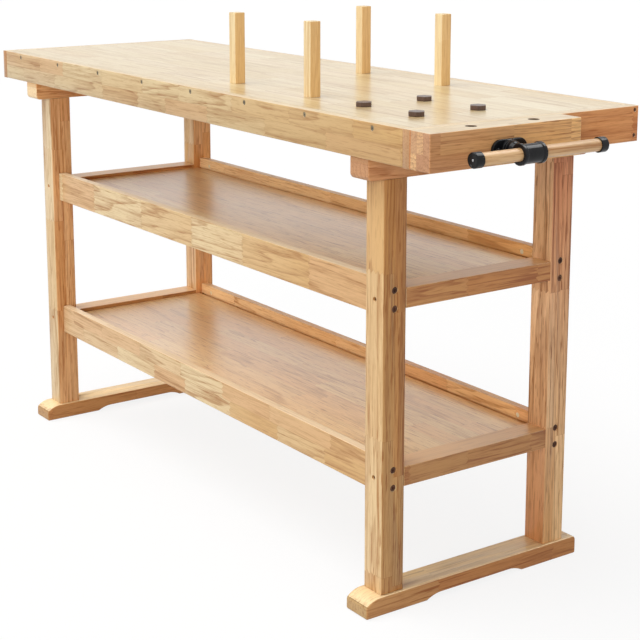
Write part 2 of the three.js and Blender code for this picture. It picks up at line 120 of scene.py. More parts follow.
# glued-up wood: staves side by side, each of short blocks joined end to end with fingers
staveWood = {
    "Along": 0.0, "Across": 0.0, "Deep": 0.0, "End": 0.0, "Seed": 0.0,
    "Stave Width": 0.05, "Stave Depth": 0.3, "Block Length": 0.3,
    "Finger Length": 0.006, "Finger Pitch": 0.006,
    "Ring Size": 0.006, "Ring Strength": 0.5, "Fibre Strength": 0.8,
    "Streak Strength": 0.5, "Fleck Strength": 0.3, "Band Strength": 0.8, "Tone Spread": 0.6, "Drift": 0.0,
    "Seam": 0.3, "Base Roughness": 0.4, "Blush Share": 0.4,
    # the side and top entries paint shade and light by the way a face points
    "Side Shading Strength": 0.0, "Side Shading Drift": 0.0, "Top Light Strength": 0.0, "End Strength": 0.0,
    "Pale": (0.7, 0.5, 0.3, 1), "Warm": (0.6, 0.38, 0.18, 1), "Blush": (0.62, 0.36, 0.2, 1),
    "Dark": (0.4, 0.2, 0.08, 1), "Side Shading Tint": (0.95, 0.78, 0.6, 1), "Top Light Tone": (0.74, 0.6, 0.4, 1),
    "End Tint": (1.0, 1.0, 1.0, 1),
}
# how finely each trait repeats along and across the grain, how far it sways, and where it begins to show
woodTraits = {
    "wander": {"along": 2.0, "across": 22.0, "sway": 0.0, "detail": 3.0},
    "fibre": {"along": 9.0, "across": 270.0, "sway": 6.0, "detail": 3.0, "roughness": 0.65},
    "pore": {"along": 46.0, "across": 900.0, "sway": 0.0, "detail": 1.0, "shows": (0.58, 0.7)},
    "fleck": {"along": 26.0, "across": 330.0, "sway": 6.0, "detail": 2.0, "shows": (0.56, 0.7)},
    "streak": {
        "along": 4.0, "across": 190.0, "sway": 2.6, "detail": 3.0, "roughness": 0.62, "shows": (0.52, 0.66),
    },
    "band": {"along": 2.6, "across": 62.0, "sway": 1.5, "detail": 3.0},
}
# what all the woods share
woodForm = {
    "rowShift": 613.0, "blockShift": 31.0, "blockSpread": 0.75,
    "pithSide": 0.11, "pithSpread": 0.07, "pithDepth": 0.012,
    "ringSway": 0.024, "ringTilt": 0.07, "ringSpread": 0.6,
    "ringPower": 3.0, "ringEnd": 0.9, "ringLeast": 0.3,
    "streakLeast": 0.4, "grainLeast": 0.02, "grainAtEnds": 0.65, "grainOnTop": 0.4, "poreTone": 0.3,
    "blushFrom": (0.5, 0.85), "endFrom": (0.6, 0.9), "sideFrom": (0.3, 0.9), "topFrom": (0.6, 0.9),
    "glueLine": (0.2 * mm, 0.7 * mm), "blockLine": (0.2 * mm, 0.8 * mm),
    "fibreRough": 0.16, "poreRough": 0.08, "fibreHeight": 0.6, "poreHeight": 0.7, "seamHeight": 1.2,
}


def buildStaveWood():
    tree, given, made = newGroup("staveWood", staveWood, ("Color", "Roughness", "Height"))
    form = woodForm

    def times(first, second):
        return calc(tree, "MULTIPLY", first, second)

    def plus(first, second):
        return calc(tree, "ADD", first, second)

    def less(first, second):
        return calc(tree, "SUBTRACT", first, second)

    def over(first, second):
        return calc(tree, "DIVIDE", first, second)

    def trait(name, swing=0.0):
        size = woodTraits[name]
        bent = plus(times(across, size["across"]), times(swing, size["sway"]))
        place = vector(tree, times(shifted, size["along"]), bent, times(deep, size["across"]))
        return noise(tree, place, size["detail"], size.get("roughness", 0.5))

    def spots(name, swing=0.0):
        return ramp(tree, trait(name, swing), *woodTraits[name]["shows"])

    along, across, deep = given["Along"], given["Across"], given["Deep"]
    stave = over(across, given["Stave Width"])
    row = calc(tree, "FLOOR", stave)
    layer = calc(tree, "FLOOR", over(deep, given["Stave Depth"]))
    cell = vector(tree, row, layer, given["Seed"])
    rowMix = put(tree, "ShaderNodeTexWhiteNoise", {"Vector": cell}).outputs[0]
    # comb of fingers at the end of each block
    comb = over(calc(tree, "PINGPONG", across, given["Finger Pitch"]), given["Finger Pitch"])
    run = over(plus(along, times(comb, given["Finger Length"])), given["Block Length"])
    run = plus(run, times(rowMix, form["rowShift"]))
    blocks = {"W": run, "Scale": 1.0, "Randomness": form["blockSpread"]}
    blockCell = put(tree, "ShaderNodeTexVoronoi", blocks, voronoi_dimensions="1D")
    blockEdge = put(tree, "ShaderNodeTexVoronoi", blocks, voronoi_dimensions="1D", feature="DISTANCE_TO_EDGE")
    tone, lean, turn = put(tree, "ShaderNodeSeparateColor", {0: blockCell.outputs["Color"]}).outputs
    # growth rings round a pith that sits somewhere outside the block
    part = less(stave, row)
    sideways = times(less(part, 0.5), given["Stave Width"])
    sideways = plus(sideways, times(less(lean, 0.5), form["pithSide"]))
    down = plus(deep, plus(times(turn, form["pithSpread"]), form["pithDepth"]))
    shifted = plus(along, times(tone, form["blockShift"]))
    sway = less(trait("wander"), 0.5)
    radius = calc(tree, "SQRT", plus(times(sideways, sideways), times(down, down)))
    radius = plus(radius, times(sway, form["ringSway"]))
    radius = plus(radius, times(along, times(less(turn, 0.5), form["ringTilt"])))
    ring = calc(tree, "FRACT", over(radius, times(given["Ring Size"], plus(lean, form["ringSpread"]))))
    ringTone = calc(tree, "POWER", ring, form["ringPower"])
    ringTone = times(ringTone, ramp(tree, ring, form["ringEnd"], 1.0, 1.0, 0.0))
    # fibres, pores, flecks, dark streaks and slow bands; end grain shows them less
    fibre = trait("fibre", sway)
    pore = spots("pore")
    ringShare = times(given["Ring Strength"], ramp(tree, turn, 0.0, 1.0, form["ringLeast"], 1.0))
    ringShare = times(ringTone, ringShare)
    fibreShare = times(less(fibre, 0.5), given["Fibre Strength"])
    streakShare = times(given["Streak Strength"], plus(lean, form["streakLeast"]))
    streakShare = times(spots("streak", sway), streakShare)
    bandShare = times(less(trait("band", sway), 0.5), given["Band Strength"])
    fleckShare = times(spots("fleck", sway), given["Fleck Strength"])
    grain = plus(plus(ringShare, fibreShare), plus(plus(bandShare, fleckShare), streakShare))
    endGrain = ramp(tree, calc(tree, "ABSOLUTE", given["End"]), *form["endFrom"])
    grain = times(grain, ramp(tree, endGrain, 0.0, 1.0, 1.0, form["grainAtEnds"]))
    grain = calc(tree, "ADD", grain, form["grainLeast"], clamp=True)
    ripe = plus(times(tone, given["Tone Spread"]), times(along, given["Drift"]))
    colour = mixColour(tree, calc(tree, "ADD", ripe, 0.0, clamp=True), given["Pale"], given["Warm"])
    blush = times(ramp(tree, lean, *form["blushFrom"]), given["Blush Share"])
    colour = mixColour(tree, blush, colour, given["Blush"])
    colour = mixColour(tree, grain, colour, given["Dark"])
    colour = mixColour(tree, times(pore, form["poreTone"]), colour, given["Dark"])
    # glue lines between staves and blocks
    rim = times(calc(tree, "MINIMUM", part, less(1.0, part)), given["Stave Width"])
    rim = ramp(tree, rim, *form["glueLine"], 1.0, 0.0)
    blockRim = times(blockEdge.outputs["Distance"], given["Block Length"])
    blockRim = ramp(tree, blockRim, *form["blockLine"], 1.0, 0.0)
    seam = times(calc(tree, "MAXIMUM", rim, blockRim), given["Seam"])
    colour = mixColour(tree, seam, colour, given["Dark"])
    # tints of the end grain, and painted shade and light on the faces across the bench's length, which may
    # change along the grain
    colour = mixColour(tree, times(endGrain, given["End Strength"]), colour, given["End Tint"], "MULTIPLY")
    normal = put(tree, "ShaderNodeTexCoord").outputs["Normal"]
    normal = put(tree, "ShaderNodeSeparateXYZ", {0: normal}).outputs
    sideShading = plus(given["Side Shading Strength"], times(along, given["Side Shading Drift"]))
    facing = times(ramp(tree, calc(tree, "ABSOLUTE", normal[0]), *form["sideFrom"]), sideShading)
    colour = mixColour(tree, facing, colour, given["Side Shading Tint"], "MULTIPLY", clamp=False)
    # painted light: the upper faces are made paler, with less of the grain
    topLight = times(ramp(tree, normal[2], *form["topFrom"]), given["Top Light Strength"])
    topLightColour = mixColour(tree, times(grain, form["grainOnTop"]), given["Top Light Tone"], given["Dark"])
    colour = mixColour(tree, topLight, colour, topLightColour)
    feed(tree, made["Color"], colour)
    rough = plus(given["Base Roughness"], times(less(fibre, 0.5), form["fibreRough"]))
    feed(tree, made["Roughness"], plus(rough, times(pore, form["poreRough"])))
    height = less(times(fibre, form["fibreHeight"]), times(pore, form["poreHeight"]))
    feed(tree, made["Height"], less(height, times(seam, form["seamHeight"])))
    return tree


# fine speckle for castings, steel and moulded plastic, over broad clouds that all of them share
speckle = {
    "Scale": 900.0, "Depth": 0.5, "Base Roughness": 0.4, "Roughness Spread": 0.15,
    "Light": (0.05, 0.05, 0.05, 1), "Shade": (0.02, 0.02, 0.02, 1),
}
speckleForm = {"fineDetail": 2.0, "broadScale": 55.0, "broadDetail": 3.0, "lightFrom": (0.3, 0.7)}


def buildSpeckle():
    tree, given, made = newGroup("speckle", speckle, ("Color", "Roughness", "Height"))
    form = speckleForm
    place = put(tree, "ShaderNodeTexCoord").outputs["Object"]
    fineGrit = {"Vector": place, "Scale": given["Scale"], "Detail": form["fineDetail"]}
    broadGrit = {"Vector": place, "Scale": form["broadScale"], "Detail": form["broadDetail"]}
    fine = put(tree, "ShaderNodeTexNoise", fineGrit).outputs[0]
    broad = put(tree, "ShaderNodeTexNoise", broadGrit).outputs[0]
    share = ramp(tree, broad, *form["lightFrom"])
    feed(tree, made["Color"], mixColour(tree, share, given["Shade"], given["Light"]))
    spread = calc(tree, "SUBTRACT", calc(tree, "ADD", fine, broad), 1.0)
    spread = calc(tree, "MULTIPLY", spread, given["Roughness Spread"])
    feed(tree, made["Roughness"], calc(tree, "ADD", given["Base Roughness"], spread))
    feed(tree, made["Height"], calc(tree, "MULTIPLY", fine, given["Depth"]))
    return tree


woodGroup = buildStaveWood()
speckleGroup = buildSpeckle()
relief = {"wood": 0.4 * mm, "speckle": 0.2 * mm}


def newMaterial(name):
    material = bpy.data.materials.new(name)
    material.use_nodes = True
    tree = material.node_tree
    return material, tree, tree.nodes["Principled BSDF"]


def finishMaterial(tree, shader, effect, bump, distance):
    feed(tree, shader.inputs["Base Color"], effect.outputs["Color"])
    feed(tree, shader.inputs["Roughness"], effect.outputs["Roughness"])
    values = {"Strength": bump, "Distance": distance, "Height": effect.outputs["Height"]}
    lift = put(tree, "ShaderNodeBump", values)
    feed(tree, shader.inputs["Normal"], lift.outputs[0])


def drilled(tree, place, colour, bore):
    # painted shade: the walls of upright holes are made darker than the wood round them
    x, y = put(tree, "ShaderNodeSeparateXYZ", {0: place}).outputs[:2]
    away = []
    for row in bore["rows"]:
        flat = vector(tree, calc(tree, "SUBTRACT", x, bore["line"]), calc(tree, "SUBTRACT", y, row), 0.0)
        away.append(put(tree, "ShaderNodeVectorMath", {0: flat}, operation="LENGTH").outputs["Value"])
    nearest = calc(tree, "MINIMUM", *away)
    inside = ramp(tree, nearest, bore["radius"], bore["radius"] + bore["fade"], 1.0, 0.0)
    return mixColour(tree, inside, colour, bore["tone"])


def wood(name, look):
    material, tree, shader = newMaterial(name)
    effect = put(tree, "ShaderNodeGroup", node_tree=woodGroup)
    coords = put(tree, "ShaderNodeTexCoord").outputs
    place = put(tree, "ShaderNodeMapping", {0: coords["Object"], 1: look.get("offset", (0, 0, 0))}).outputs[0]
    axes = put(tree, "ShaderNodeSeparateXYZ", {0: place}).outputs
    for label, axis in zip(("Along", "Across", "Deep"), look["axes"]):
        feed(tree, effect.inputs[label], axes["XYZ".index(axis)])
    facing = put(tree, "ShaderNodeSeparateXYZ", {0: coords["Normal"]}).outputs
    feed(tree, effect.inputs["End"], facing["XYZ".index(look["axes"][0])])
    for label, value in look["grain"].items():
        effect.inputs[label].default_value = value
    shader.inputs["Specular IOR Level"].default_value = look.get("shine", 0.3)
    shader.inputs["Coat Weight"].default_value = look.get("varnish", 0.1)
    shader.inputs["Coat Roughness"].default_value = look.get("gloss", 0.2)
    shader.inputs["IOR"].default_value = 1.45
    finishMaterial(tree, shader, effect, look.get("bump", 0.12), relief["wood"])
    # painted shade inside the upright holes
    if "bore" in look:
        colour = drilled(tree, coords["Object"], effect.outputs["Color"], look["bore"])
        feed(tree, shader.inputs["Base Color"], colour)
    return material


def speckled(name, look):
    material, tree, shader = newMaterial(name)
    effect = put(tree, "ShaderNodeGroup", node_tree=speckleGroup)
    for label, value in look["effect"].items():
        effect.inputs[label].default_value = value
    shader.inputs["Metallic"].default_value = look.get("metal", 0.0)
    shader.inputs["Specular IOR Level"].default_value = look.get("shine", 0.5)
    finishMaterial(tree, shader, effect, look.get("bump", 0.1), relief["speckle"])
    return material


# wood finishes; axes name which way the grain, the staves and the layers run
paleTone = {
    "Pale": (0.8, 0.67, 0.43, 1), "Warm": (0.7, 0.52, 0.25, 1),
    "Blush": (0.74, 0.55, 0.31, 1), "Dark": (0.46, 0.27, 0.09, 1),
}
honeyTone = {
    "Pale": (0.77, 0.59, 0.35, 1), "Warm": (0.67, 0.41, 0.18, 1),
    "Blush": (0.69, 0.4, 0.2, 1), "Dark": (0.42, 0.2, 0.07, 1),
}
shelfTone = {
    "Pale": (0.98, 0.72, 0.37, 1), "Warm": (0.9, 0.55, 0.24, 1),
    "Blush": (0.92, 0.56, 0.25, 1), "Dark": (0.5, 0.25, 0.07, 1),
}
jawTone = {
    "Pale": (0.84, 0.54, 0.23, 1), "Warm": (0.54, 0.31, 0.145, 1),
    "Blush": (0.36, 0.15, 0.075, 1), "Dark": (0.27, 0.115, 0.045, 1),
}
postTone = {
    "Pale": (0.86, 0.7, 0.42, 1), "Warm": (0.8, 0.6, 0.3, 1),
    "Blush": (0.8, 0.58, 0.3, 1), "Dark": (0.55, 0.3, 0.1, 1),
}
dogTone = {
    "Pale": (0.12, 0.07, 0.05, 1), "Warm": (0.08, 0.042, 0.03, 1),
    "Blush": (0.09, 0.05, 0.035, 1), "Dark": (0.03, 0.017, 0.012, 1),
}
plainGrain = {
    "Ring Strength": 0.9, "Fibre Strength": 1.9, "Streak Strength": 0.2,
    "Fleck Strength": 0.4, "Band Strength": 0.5,
}
shelfGrain = {
    "Ring Strength": 0.6, "Fibre Strength": 2.3, "Streak Strength": 0.3,
    "Fleck Strength": 0.7, "Band Strength": 0.6,
}
calmGrain = {
    "Ring Strength": 0.4, "Fibre Strength": 1.1, "Streak Strength": 0.5,
    "Fleck Strength": 0.15, "Band Strength": 0.9,
}
livelyGrain = {"Streak Strength": 0.8, "Band Strength": 1.2}
wildGrain = {
    "Ring Strength": 1.0, "Fibre Strength": 2.0, "Streak Strength": 0.65,
    "Fleck Strength": 0.6, "Band Strength": 1.2,
}


def tinted(tone, red, green, blue):
    return {label: (c[0] * red, c[1] * green, c[2] * blue, 1) for label, c in tone.items()}


def sided(red, green, blue):
    # painted shade and light on the faces across the bench's length
    return {"Side Shading Strength": 1.0, "Side Shading Tint": (red, green, blue, 1)}


def litTops(red, green, blue):
    # painted light on the upper faces
    return {"Top Light Strength": 1.0, "Top Light Tone": (red, green, blue, 1)}


def ended(red, green, blue):
    # tint of the end grain
    return {"End Strength": 1.0, "End Tint": (red, green, blue, 1)}


def changed(grain, changes):
    for change in changes:
        grain.update(change)
    return grain


def longLook(seed, staves, *changes):
    width, block, start = staves
    grain = {
        "Seed": seed, "Stave Width": width, "Stave Depth": 0.25, "Block Length": block, "Ring Size": 0.008,
        "Tone Spread": 0.85, "Drift": 0.8, "Seam": 0.3, "Blush Share": 0.7, "Base Roughness": 0.38,
        **plainGrain, **honeyTone,
    }
    return {"axes": "XZY", "offset": (0, 0, start), "grain": changed(grain, changes)}


def legLook(seed, *changes, rise=0.0):
    # the offset sets the glue lines on the legs, and rise moves the blocks up or down
    grain = {
        "Seed": seed, "Stave Width": 0.208, "Stave Depth": 0.02493, "Block Length": 0.24, "Ring Size": 0.007,
        "Tone Spread": 0.9, "Drift": 0.4, "Seam": 0.3, "Base Roughness": 0.38, **wildGrain, **honeyTone,
    }
    return {"axes": "ZXY", "offset": (-0.0458, 0.01247, rise), "grain": changed(grain, changes)}


def crossLook(seed, block, *changes):
    grain = {
        "Seed": seed, "Stave Width": 0.157, "Stave Depth": 0.3, "Block Length": block, "Ring Size": 0.007,
        "Tone Spread": 0.8, "Seam": 0.3, "Base Roughness": 0.36, **plainGrain, **honeyTone,
    }
    return {"axes": "YZX", "grain": changed(grain, changes)}


topSheen = {"shine": 0.5, "varnish": 0.4, "bump": 0.08}
shelfSheen = {"shine": 0.6, "varnish": 1.0, "gloss": 0.32}
railSheen = {"shine": 0.35, "varnish": 0.3, "gloss": 0.3}
# painted shade and light: the back right leg's sides are made darker and redder towards the top and paler
# towards the bottom
backRightTone = {
    "Warm": (0.58, 0.25, 0.095, 1), "Blush": (0.66, 0.36, 0.17, 1), "Dark": (0.31, 0.13, 0.045, 1),
    "Tone Spread": 0.45, "Drift": -1.15, "Blush Share": 0.25, "Streak Strength": 0.5, "Fibre Strength": 1.4,
    "Side Shading Strength": -0.95, "Side Shading Drift": -4.0, "Side Shading Tint": (1.16, 1.36, 1.42, 1),
}
# painted shade for the walls of the jaw's upright holes
jawBoreShade = {
    "line": 0.7246, "rows": (-0.145, -0.013), "radius": 9.5 * mm, "fade": 0.5 * mm,
    "tone": (0.1, 0.055, 0.03, 1),
}
# stave width, block length, and where the first stave starts
narrowStaves = (0.03087, 0.17, -0.02338)
railStaves = (0.157, 0.21, 0)
# painted light on the upper faces of the aprons, the jaw and the end rails, and a painted highlight along the
# tops of the rails
apronTopLight = litTops(0.78, 0.63, 0.42)
railTopHighlight = litTops(0.92, 0.72, 0.46)
endRailTopLight = litTops(0.86, 0.54, 0.26)
# the side tints below are painted shade and light, and the top tones painted light
woodLooks = {
    "paleTop": {"axes": "XYZ", "offset": (0, 0.0257, 0), **topSheen, "grain": {
        "Seed": 3.0, "Stave Width": 0.0515, "Stave Depth": 2.0, "Block Length": 0.2, "Ring Size": 0.012,
        "Tone Spread": 0.8, "Seam": 0.15, "Base Roughness": 0.34, **calmGrain, **paleTone}},
    "apronWood": longLook(11.0, narrowStaves, tinted(honeyTone, 0.9, 0.92, 0.88), apronTopLight),
    "upperRail": longLook(12.0, railStaves, tinted(honeyTone, 1.0, 1.02, 1.0), railTopHighlight, {"Drift": 1.5}),
    "lowerRail": longLook(11.0, narrowStaves, tinted(honeyTone, 0.97, 0.99, 0.98), railTopHighlight, {"Drift": 1.8}),
    # the back rails use a brighter, redder copy of the honey wood: the brightening is painted light on their
    # shaded inner faces
    "backRail": longLook(14.0, railStaves, tinted(honeyTone, 1.3, 1.15, 1.0)),
    "frontLeftLeg": legLook(23.0, tinted(honeyTone, 1.06, 1.22, 1.42), sided(0.94, 0.66, 0.48)),
    "backLeftLeg": legLook(24.0, tinted(honeyTone, 1.1, 1.1, 1.1), sided(1.0, 0.75, 0.55)),
    "frontRightLeg": legLook(23.0, tinted(honeyTone, 1.03, 1.03, 1.0), sided(0.68, 0.52, 0.36)),
    "backRightLeg": legLook(26.0, tinted(honeyTone, 1.27, 1.14, 1.1), backRightTone, rise=-0.62),
    "leftCross": crossLook(31.0, 0.16, tinted(honeyTone, 1.25, 1.25, 1.25), sided(0.8, 0.56, 0.4)),
    "rightCross": crossLook(31.0, 0.16, tinted(honeyTone, 0.8, 0.6, 0.52), sided(1.12, 1.04, 0.88)),
    "upperEndRail": {
        **crossLook(34.0, 0.16, livelyGrain, sided(0.7, 0.44, 0.235), endRailTopLight), **railSheen},
    "lowerEndRail": {
        **crossLook(35.0, 0.16, livelyGrain, sided(0.62, 0.41, 0.235), endRailTopLight), **railSheen},
    # the feet's upper faces are painted paler where the bench shades them: painted light
    "footWood": crossLook(
        36.0, 0.2, livelyGrain, tinted(honeyTone, 0.66, 0.56, 0.42),
        sided(1.06, 0.82, 0.66), litTops(0.98, 0.73, 0.41)),
    "endApron": crossLook(32.0, 0.22, sided(0.88, 0.51, 0.3), apronTopLight, ended(0.72, 0.58, 0.52)),
    "amberShelf": {"axes": "XYZ", "offset": (0, 0.018, 0), "bump": 0.05, **shelfSheen, "grain": {
        "Seed": 47.0, "Stave Width": 0.0407, "Stave Depth": 0.3, "Block Length": 0.3, "Ring Size": 0.01,
        "Tone Spread": 0.7, "Seam": 0.3, "Base Roughness": 0.36, **shelfGrain, **shelfTone}},
    "jawWood": {"axes": "YXZ", "offset": (-0.7041, -0.08, -0.772), "bore": jawBoreShade, "grain": {
        "Seed": 61.0, "Stave Width": 0.0162, "Stave Depth": 0.05, "Block Length": 0.17, "Ring Size": 0.007,
        "Tone Spread": 0.6, "Drift": -1.3, "Seam": 0.35, "Base Roughness": 0.38, "Blush Share": 0.8,
        **plainGrain, "Streak Strength": 0.4, "Fleck Strength": 0.6, "Band Strength": 0.9,
        **jawTone, **sided(1.32, 1.26, 1.16), **ended(1.12, 1.12, 1.25), **apronTopLight}},
    "postWood": {"axes": "ZXY", "varnish": 0.2, "grain": {
        "Seed": 71.0, "Stave Width": 0.251, "Stave Depth": 0.3, "Block Length": 0.6, "Ring Size": 0.006,
        "Tone Spread": 0.4, "Seam": 0.0, "Base Roughness": 0.42, **calmGrain,
        **postTone, **sided(0.96, 0.78, 0.58)}},
    "handleWood": {"axes": "YXZ", "varnish": 0.3, "grain": {
        "Seed": 83.0, "Stave Width": 1.0, "Stave Depth": 3.0, "Block Length": 3.0, "Ring Size": 0.005,
        "Tone Spread": 0.4, "Seam": 0.0, "Base Roughness": 0.38, **calmGrain,
        **tinted(honeyTone, 0.92, 0.84, 0.74)}},
    "darkDog": {"axes": "ZXY", "varnish": 0.3, "grain": {
        "Seed": 97.0, "Stave Width": 0.14, "Stave Depth": 0.2, "Block Length": 0.5, "Ring Size": 0.004,
        "Tone Spread": 0.6, "Seam": 0.0, "Base Roughness": 0.4, **calmGrain, **dogTone}},
}
speckleLooks = {
    "castBlack": {"shine": 0.2, "bump": 0.06, "effect": {
        "Scale": 1500.0, "Base Roughness": 0.13,
        "Light": (0.009, 0.009, 0.01, 1), "Shade": (0.005, 0.005, 0.006, 1)}},
    "mouldedBlack": {"shine": 0.2, "bump": 0.06, "effect": {
        "Scale": 2200.0, "Base Roughness": 0.16,
        "Light": (0.009, 0.009, 0.009, 1), "Shade": (0.005, 0.005, 0.005, 1)}},
    "turnedSteel": {"metal": 1.0, "bump": 0.05, "effect": {
        "Scale": 1800.0, "Base Roughness": 0.28,
        "Light": (0.6, 0.6, 0.61, 1), "Shade": (0.48, 0.48, 0.49, 1)}},
    "darkBolt": {"shine": 0.2, "bump": 0.08, "effect": {
        "Scale": 2600.0, "Base Roughness": 0.4,
        "Light": (0.13, 0.055, 0.03, 1), "Shade": (0.06, 0.026, 0.015, 1)}},
    "greyScrew": {"metal": 0.5, "bump": 0.08, "effect": {
        "Scale": 2600.0, "Base Roughness": 0.46,
        "Light": (0.3, 0.25, 0.16, 1), "Shade": (0.17, 0.14, 0.09, 1)}},
    "brassNut": {"metal": 0.1, "bump": 0.06, "effect": {
        "Scale": 2600.0, "Base Roughness": 0.34,
        "Light": (0.95, 0.86, 0.64, 1), "Shade": (0.8, 0.68, 0.45, 1)}},
}
looks = {name: wood(name, look) for name, look in woodLooks.items()}
looks.update({name: speckled(name, look) for name, look in speckleLooks.items()})
print("materials made:", len(looks))


# mesh helpers: reaches in metres, angles from which an edge counts as one, and the steps of a soft edge
meshWork = {
    "weld": 2e-6, "sliver": 5e-6, "pole": 1e-7, "side": 0.4 * mm, "flat": math.radians(0.5),
    "sharp": math.radians(32), "turnedSharp": math.radians(34), "castSharp": math.radians(40),
    "fastenerSharp": math.radians(30), "bevelSteps": 3,
}


def pieceName(node):
    head, *rest = node.split("_")
    return head + "".join(word.capitalize() for word in rest)


def newPiece(name, mesh, material):
    mesh.materials.clear()
    mesh.materials.append(looks[material])
    piece = bpy.data.objects.new(name, mesh)
    scene.collection.objects.link(piece)
    return piece


def settle(piece):
    # swaps the piece's mesh for the one its modifiers make
    graph = bpy.context.evaluated_depsgraph_get()
    made = piece.evaluated_get(graph)
    mesh = bpy.data.meshes.new_from_object(made, preserve_all_data_layers=True, depsgraph=graph)
    old = piece.data
    piece.modifiers.clear()
    piece.data = mesh
    bpy.data.meshes.remove(old)


def cleanMesh(mesh):
    # drops the slivers that cutting leaves
    shape = bmesh.new()
    shape.from_mesh(mesh)
    bmesh.ops.remove_doubles(shape, verts=shape.verts, dist=meshWork["sliver"])
    bmesh.ops.dissolve_degenerate(shape, edges=shape.edges, dist=meshWork["sliver"])
    shape.to_mesh(mesh)
    shape.free()


def seat(piece, body, slot, *replaced):
    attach(piece, body)
    if replaced:
        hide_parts(*replaced)


def edgePlaces(low, high, point):
    # which of the box's sides a point lies on
    gap = meshWork["side"]
    return [abs(point[i] - low[i]) < gap or abs(point[i] - high[i]) < gap for i in range(3)]


def twoSides(low, high, point):
    return 1.0 if sum(edgePlaces(low, high, point)) >= 2 else 0.0


def xSides(low, high, point):
    places = edgePlaces(low, high, point)
    return 1.0 if places[0] or places[1] and places[2] else 0.0


def dressNode(node, width, material, weigh=twoSides, rimWidth=0.0):
    # a softened copy of a solid; weigh says which edges get the whole width, and the others get the rim's
    low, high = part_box(node)
    shape = bmesh.new()
    shape.from_mesh(nodes[node].data)
    bmesh.ops.remove_doubles(shape, verts=shape.verts, dist=meshWork["weld"])
    bmesh.ops.dissolve_limit(shape, angle_limit=meshWork["flat"], verts=shape.verts, edges=shape.edges)
    bmesh.ops.recalc_face_normals(shape, faces=shape.faces)
    weights = shape.edges.layers.float.new("bevel_weight_edge")
    for edge in shape.edges:
        if len(edge.link_faces) == 2 and edge.calc_face_angle(0.0) > meshWork["sharp"]:
            middle = (edge.verts[0].co + edge.verts[1].co) / 2
            edge[weights] = weigh(low, high, middle) or rimWidth / width
    mesh = bpy.data.meshes.new(pieceName(node))
    shape.to_mesh(mesh)
    shape.free()
    mesh.shade_smooth()
    piece = newPiece(pieceName(node), mesh, material)
    bevel = piece.modifiers.new("softEdges", "BEVEL")
    bevel.width = width
    bevel.segments = meshWork["bevelSteps"]
    bevel.limit_method = "WEIGHT"
    bevel.use_clamp_overlap = False
    bevel.harden_normals = True
    bevel.miter_outer = "MITER_ARC"
    mesh.set_sharp_from_angle(angle=meshWork["sharp"])
    settle(piece)
    return piece


def ringMesh(name, rings):
    # closed skin over rings of points; each ring has as many points as the next
    shape = bmesh.new()
    made = [[shape.verts.new(point) for point in ring] for ring in rings]
    count = len(rings[0])
    for first, second in zip(made, made[1:]):
        for i in range(count):
            j = (i + 1) % count
            shape.faces.new((first[i], first[j], second[j], second[i]))
    shape.faces.new(list(reversed(made[0])))
    shape.faces.new(made[-1])
    bmesh.ops.remove_doubles(shape, verts=shape.verts, dist=meshWork["pole"])
    bmesh.ops.recalc_face_normals(shape, faces=shape.faces)
    mesh = bpy.data.meshes.new(name)
    shape.to_mesh(mesh)
    shape.free()
    mesh.shade_smooth()
    mesh.set_sharp_from_angle(angle=meshWork["turnedSharp"])
    return mesh


def turnPoint(axis, along, radius, angle, centre):
    # the axis is X, along the bench, or Y, across it
    c, s = radius * math.cos(angle), radius * math.sin(angle)
    if axis == "X":
        return Vector((along, centre[1] + c, centre[2] + s))
    return Vector((centre[0] + c, along, centre[2] + s))


def turnRing(axis, along, radius, centre, sides):
    return [turnPoint(axis, along, radius, math.tau * i / sides, centre) for i in range(sides)]


def turned(name, axis, profile, centre, sides=56):
    # a round piece from (place along the axis, radius) pairs
    return ringMesh(name, [turnRing(axis, along, radius, centre, sides) for along, radius in profile])


def roundedEnd(along, radius, fillet, direction, steps=4):
    # profile points of a rounded rim that ends at `along`
    points = []
    for i in range(steps + 1):
        angle = math.pi / 2 * i / steps
        place = along - direction * fillet * (1 - math.sin(angle))
        points.append((place, radius - fillet * (1 - math.cos(angle))))
    return points


def roundedBar(low, high, radius, fillet):
    # profile of a round bar with both rims rounded
    return list(reversed(roundedEnd(low, radius, fillet, -1))) + roundedEnd(high, radius, fillet, 1)


def boxMiddle(node):
    low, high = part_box(node)
    return (low + high) / 2


def joinMeshes(name, meshes):
    shape = bmesh.new()
    for mesh in meshes:
        shape.from_mesh(mesh)
        bpy.data.meshes.remove(mesh)
    joined = bpy.data.meshes.new(name)
    shape.to_mesh(joined)
    shape.free()
    return joined


def carve(piece, meshes):
    # cuts holes and gaps out of a finished piece
    cutter = bpy.data.objects.new("cutter", joinMeshes("cutter", meshes))
    scene.collection.objects.link(cutter)
    for slot in piece.data.materials:
        cutter.data.materials.append(slot)
    cutting = piece.modifiers.new("holes", "BOOLEAN")
    cutting.operation = "DIFFERENCE"
    cutting.solver = "EXACT"
    cutting.object = cutter
    settle(piece)
    piece.data.set_sharp_from_angle(angle=meshWork["sharp"])
    shell = cutter.data
    bpy.data.objects.remove(cutter)
    bpy.data.meshes.remove(shell)


drill = {"rim": 0.3 * mm, "sides": 32}


def hole(axis, mouth, inward, radius, depth, place):
    # a drilled hole with a slightly broken rim; inward is the way the drill goes
    rim = drill["rim"]
    profile = [
        (mouth - inward * mm, radius + rim), (mouth, radius + rim),
        (mouth + inward * rim, radius), (mouth + inward * depth, radius),
    ]
    return turned("cutter", axis, profile, place, sides=drill["sides"])


def drillRow(piece, axis, face, outward, size, spots):
    # drills a row of holes into a face and gives each fastener's place and aim
    carve(piece, [hole(axis, face, -outward, size["radius"], size["depth"], spot) for spot in spots])
    seatLine = face - outward * size["sunk"]
    if axis == "X":
        return [((seatLine, y, z), (outward, 0, 0)) for x, y, z in spots]
    return [((x, seatLine, z), (0, outward, 0)) for x, y, z in spots]


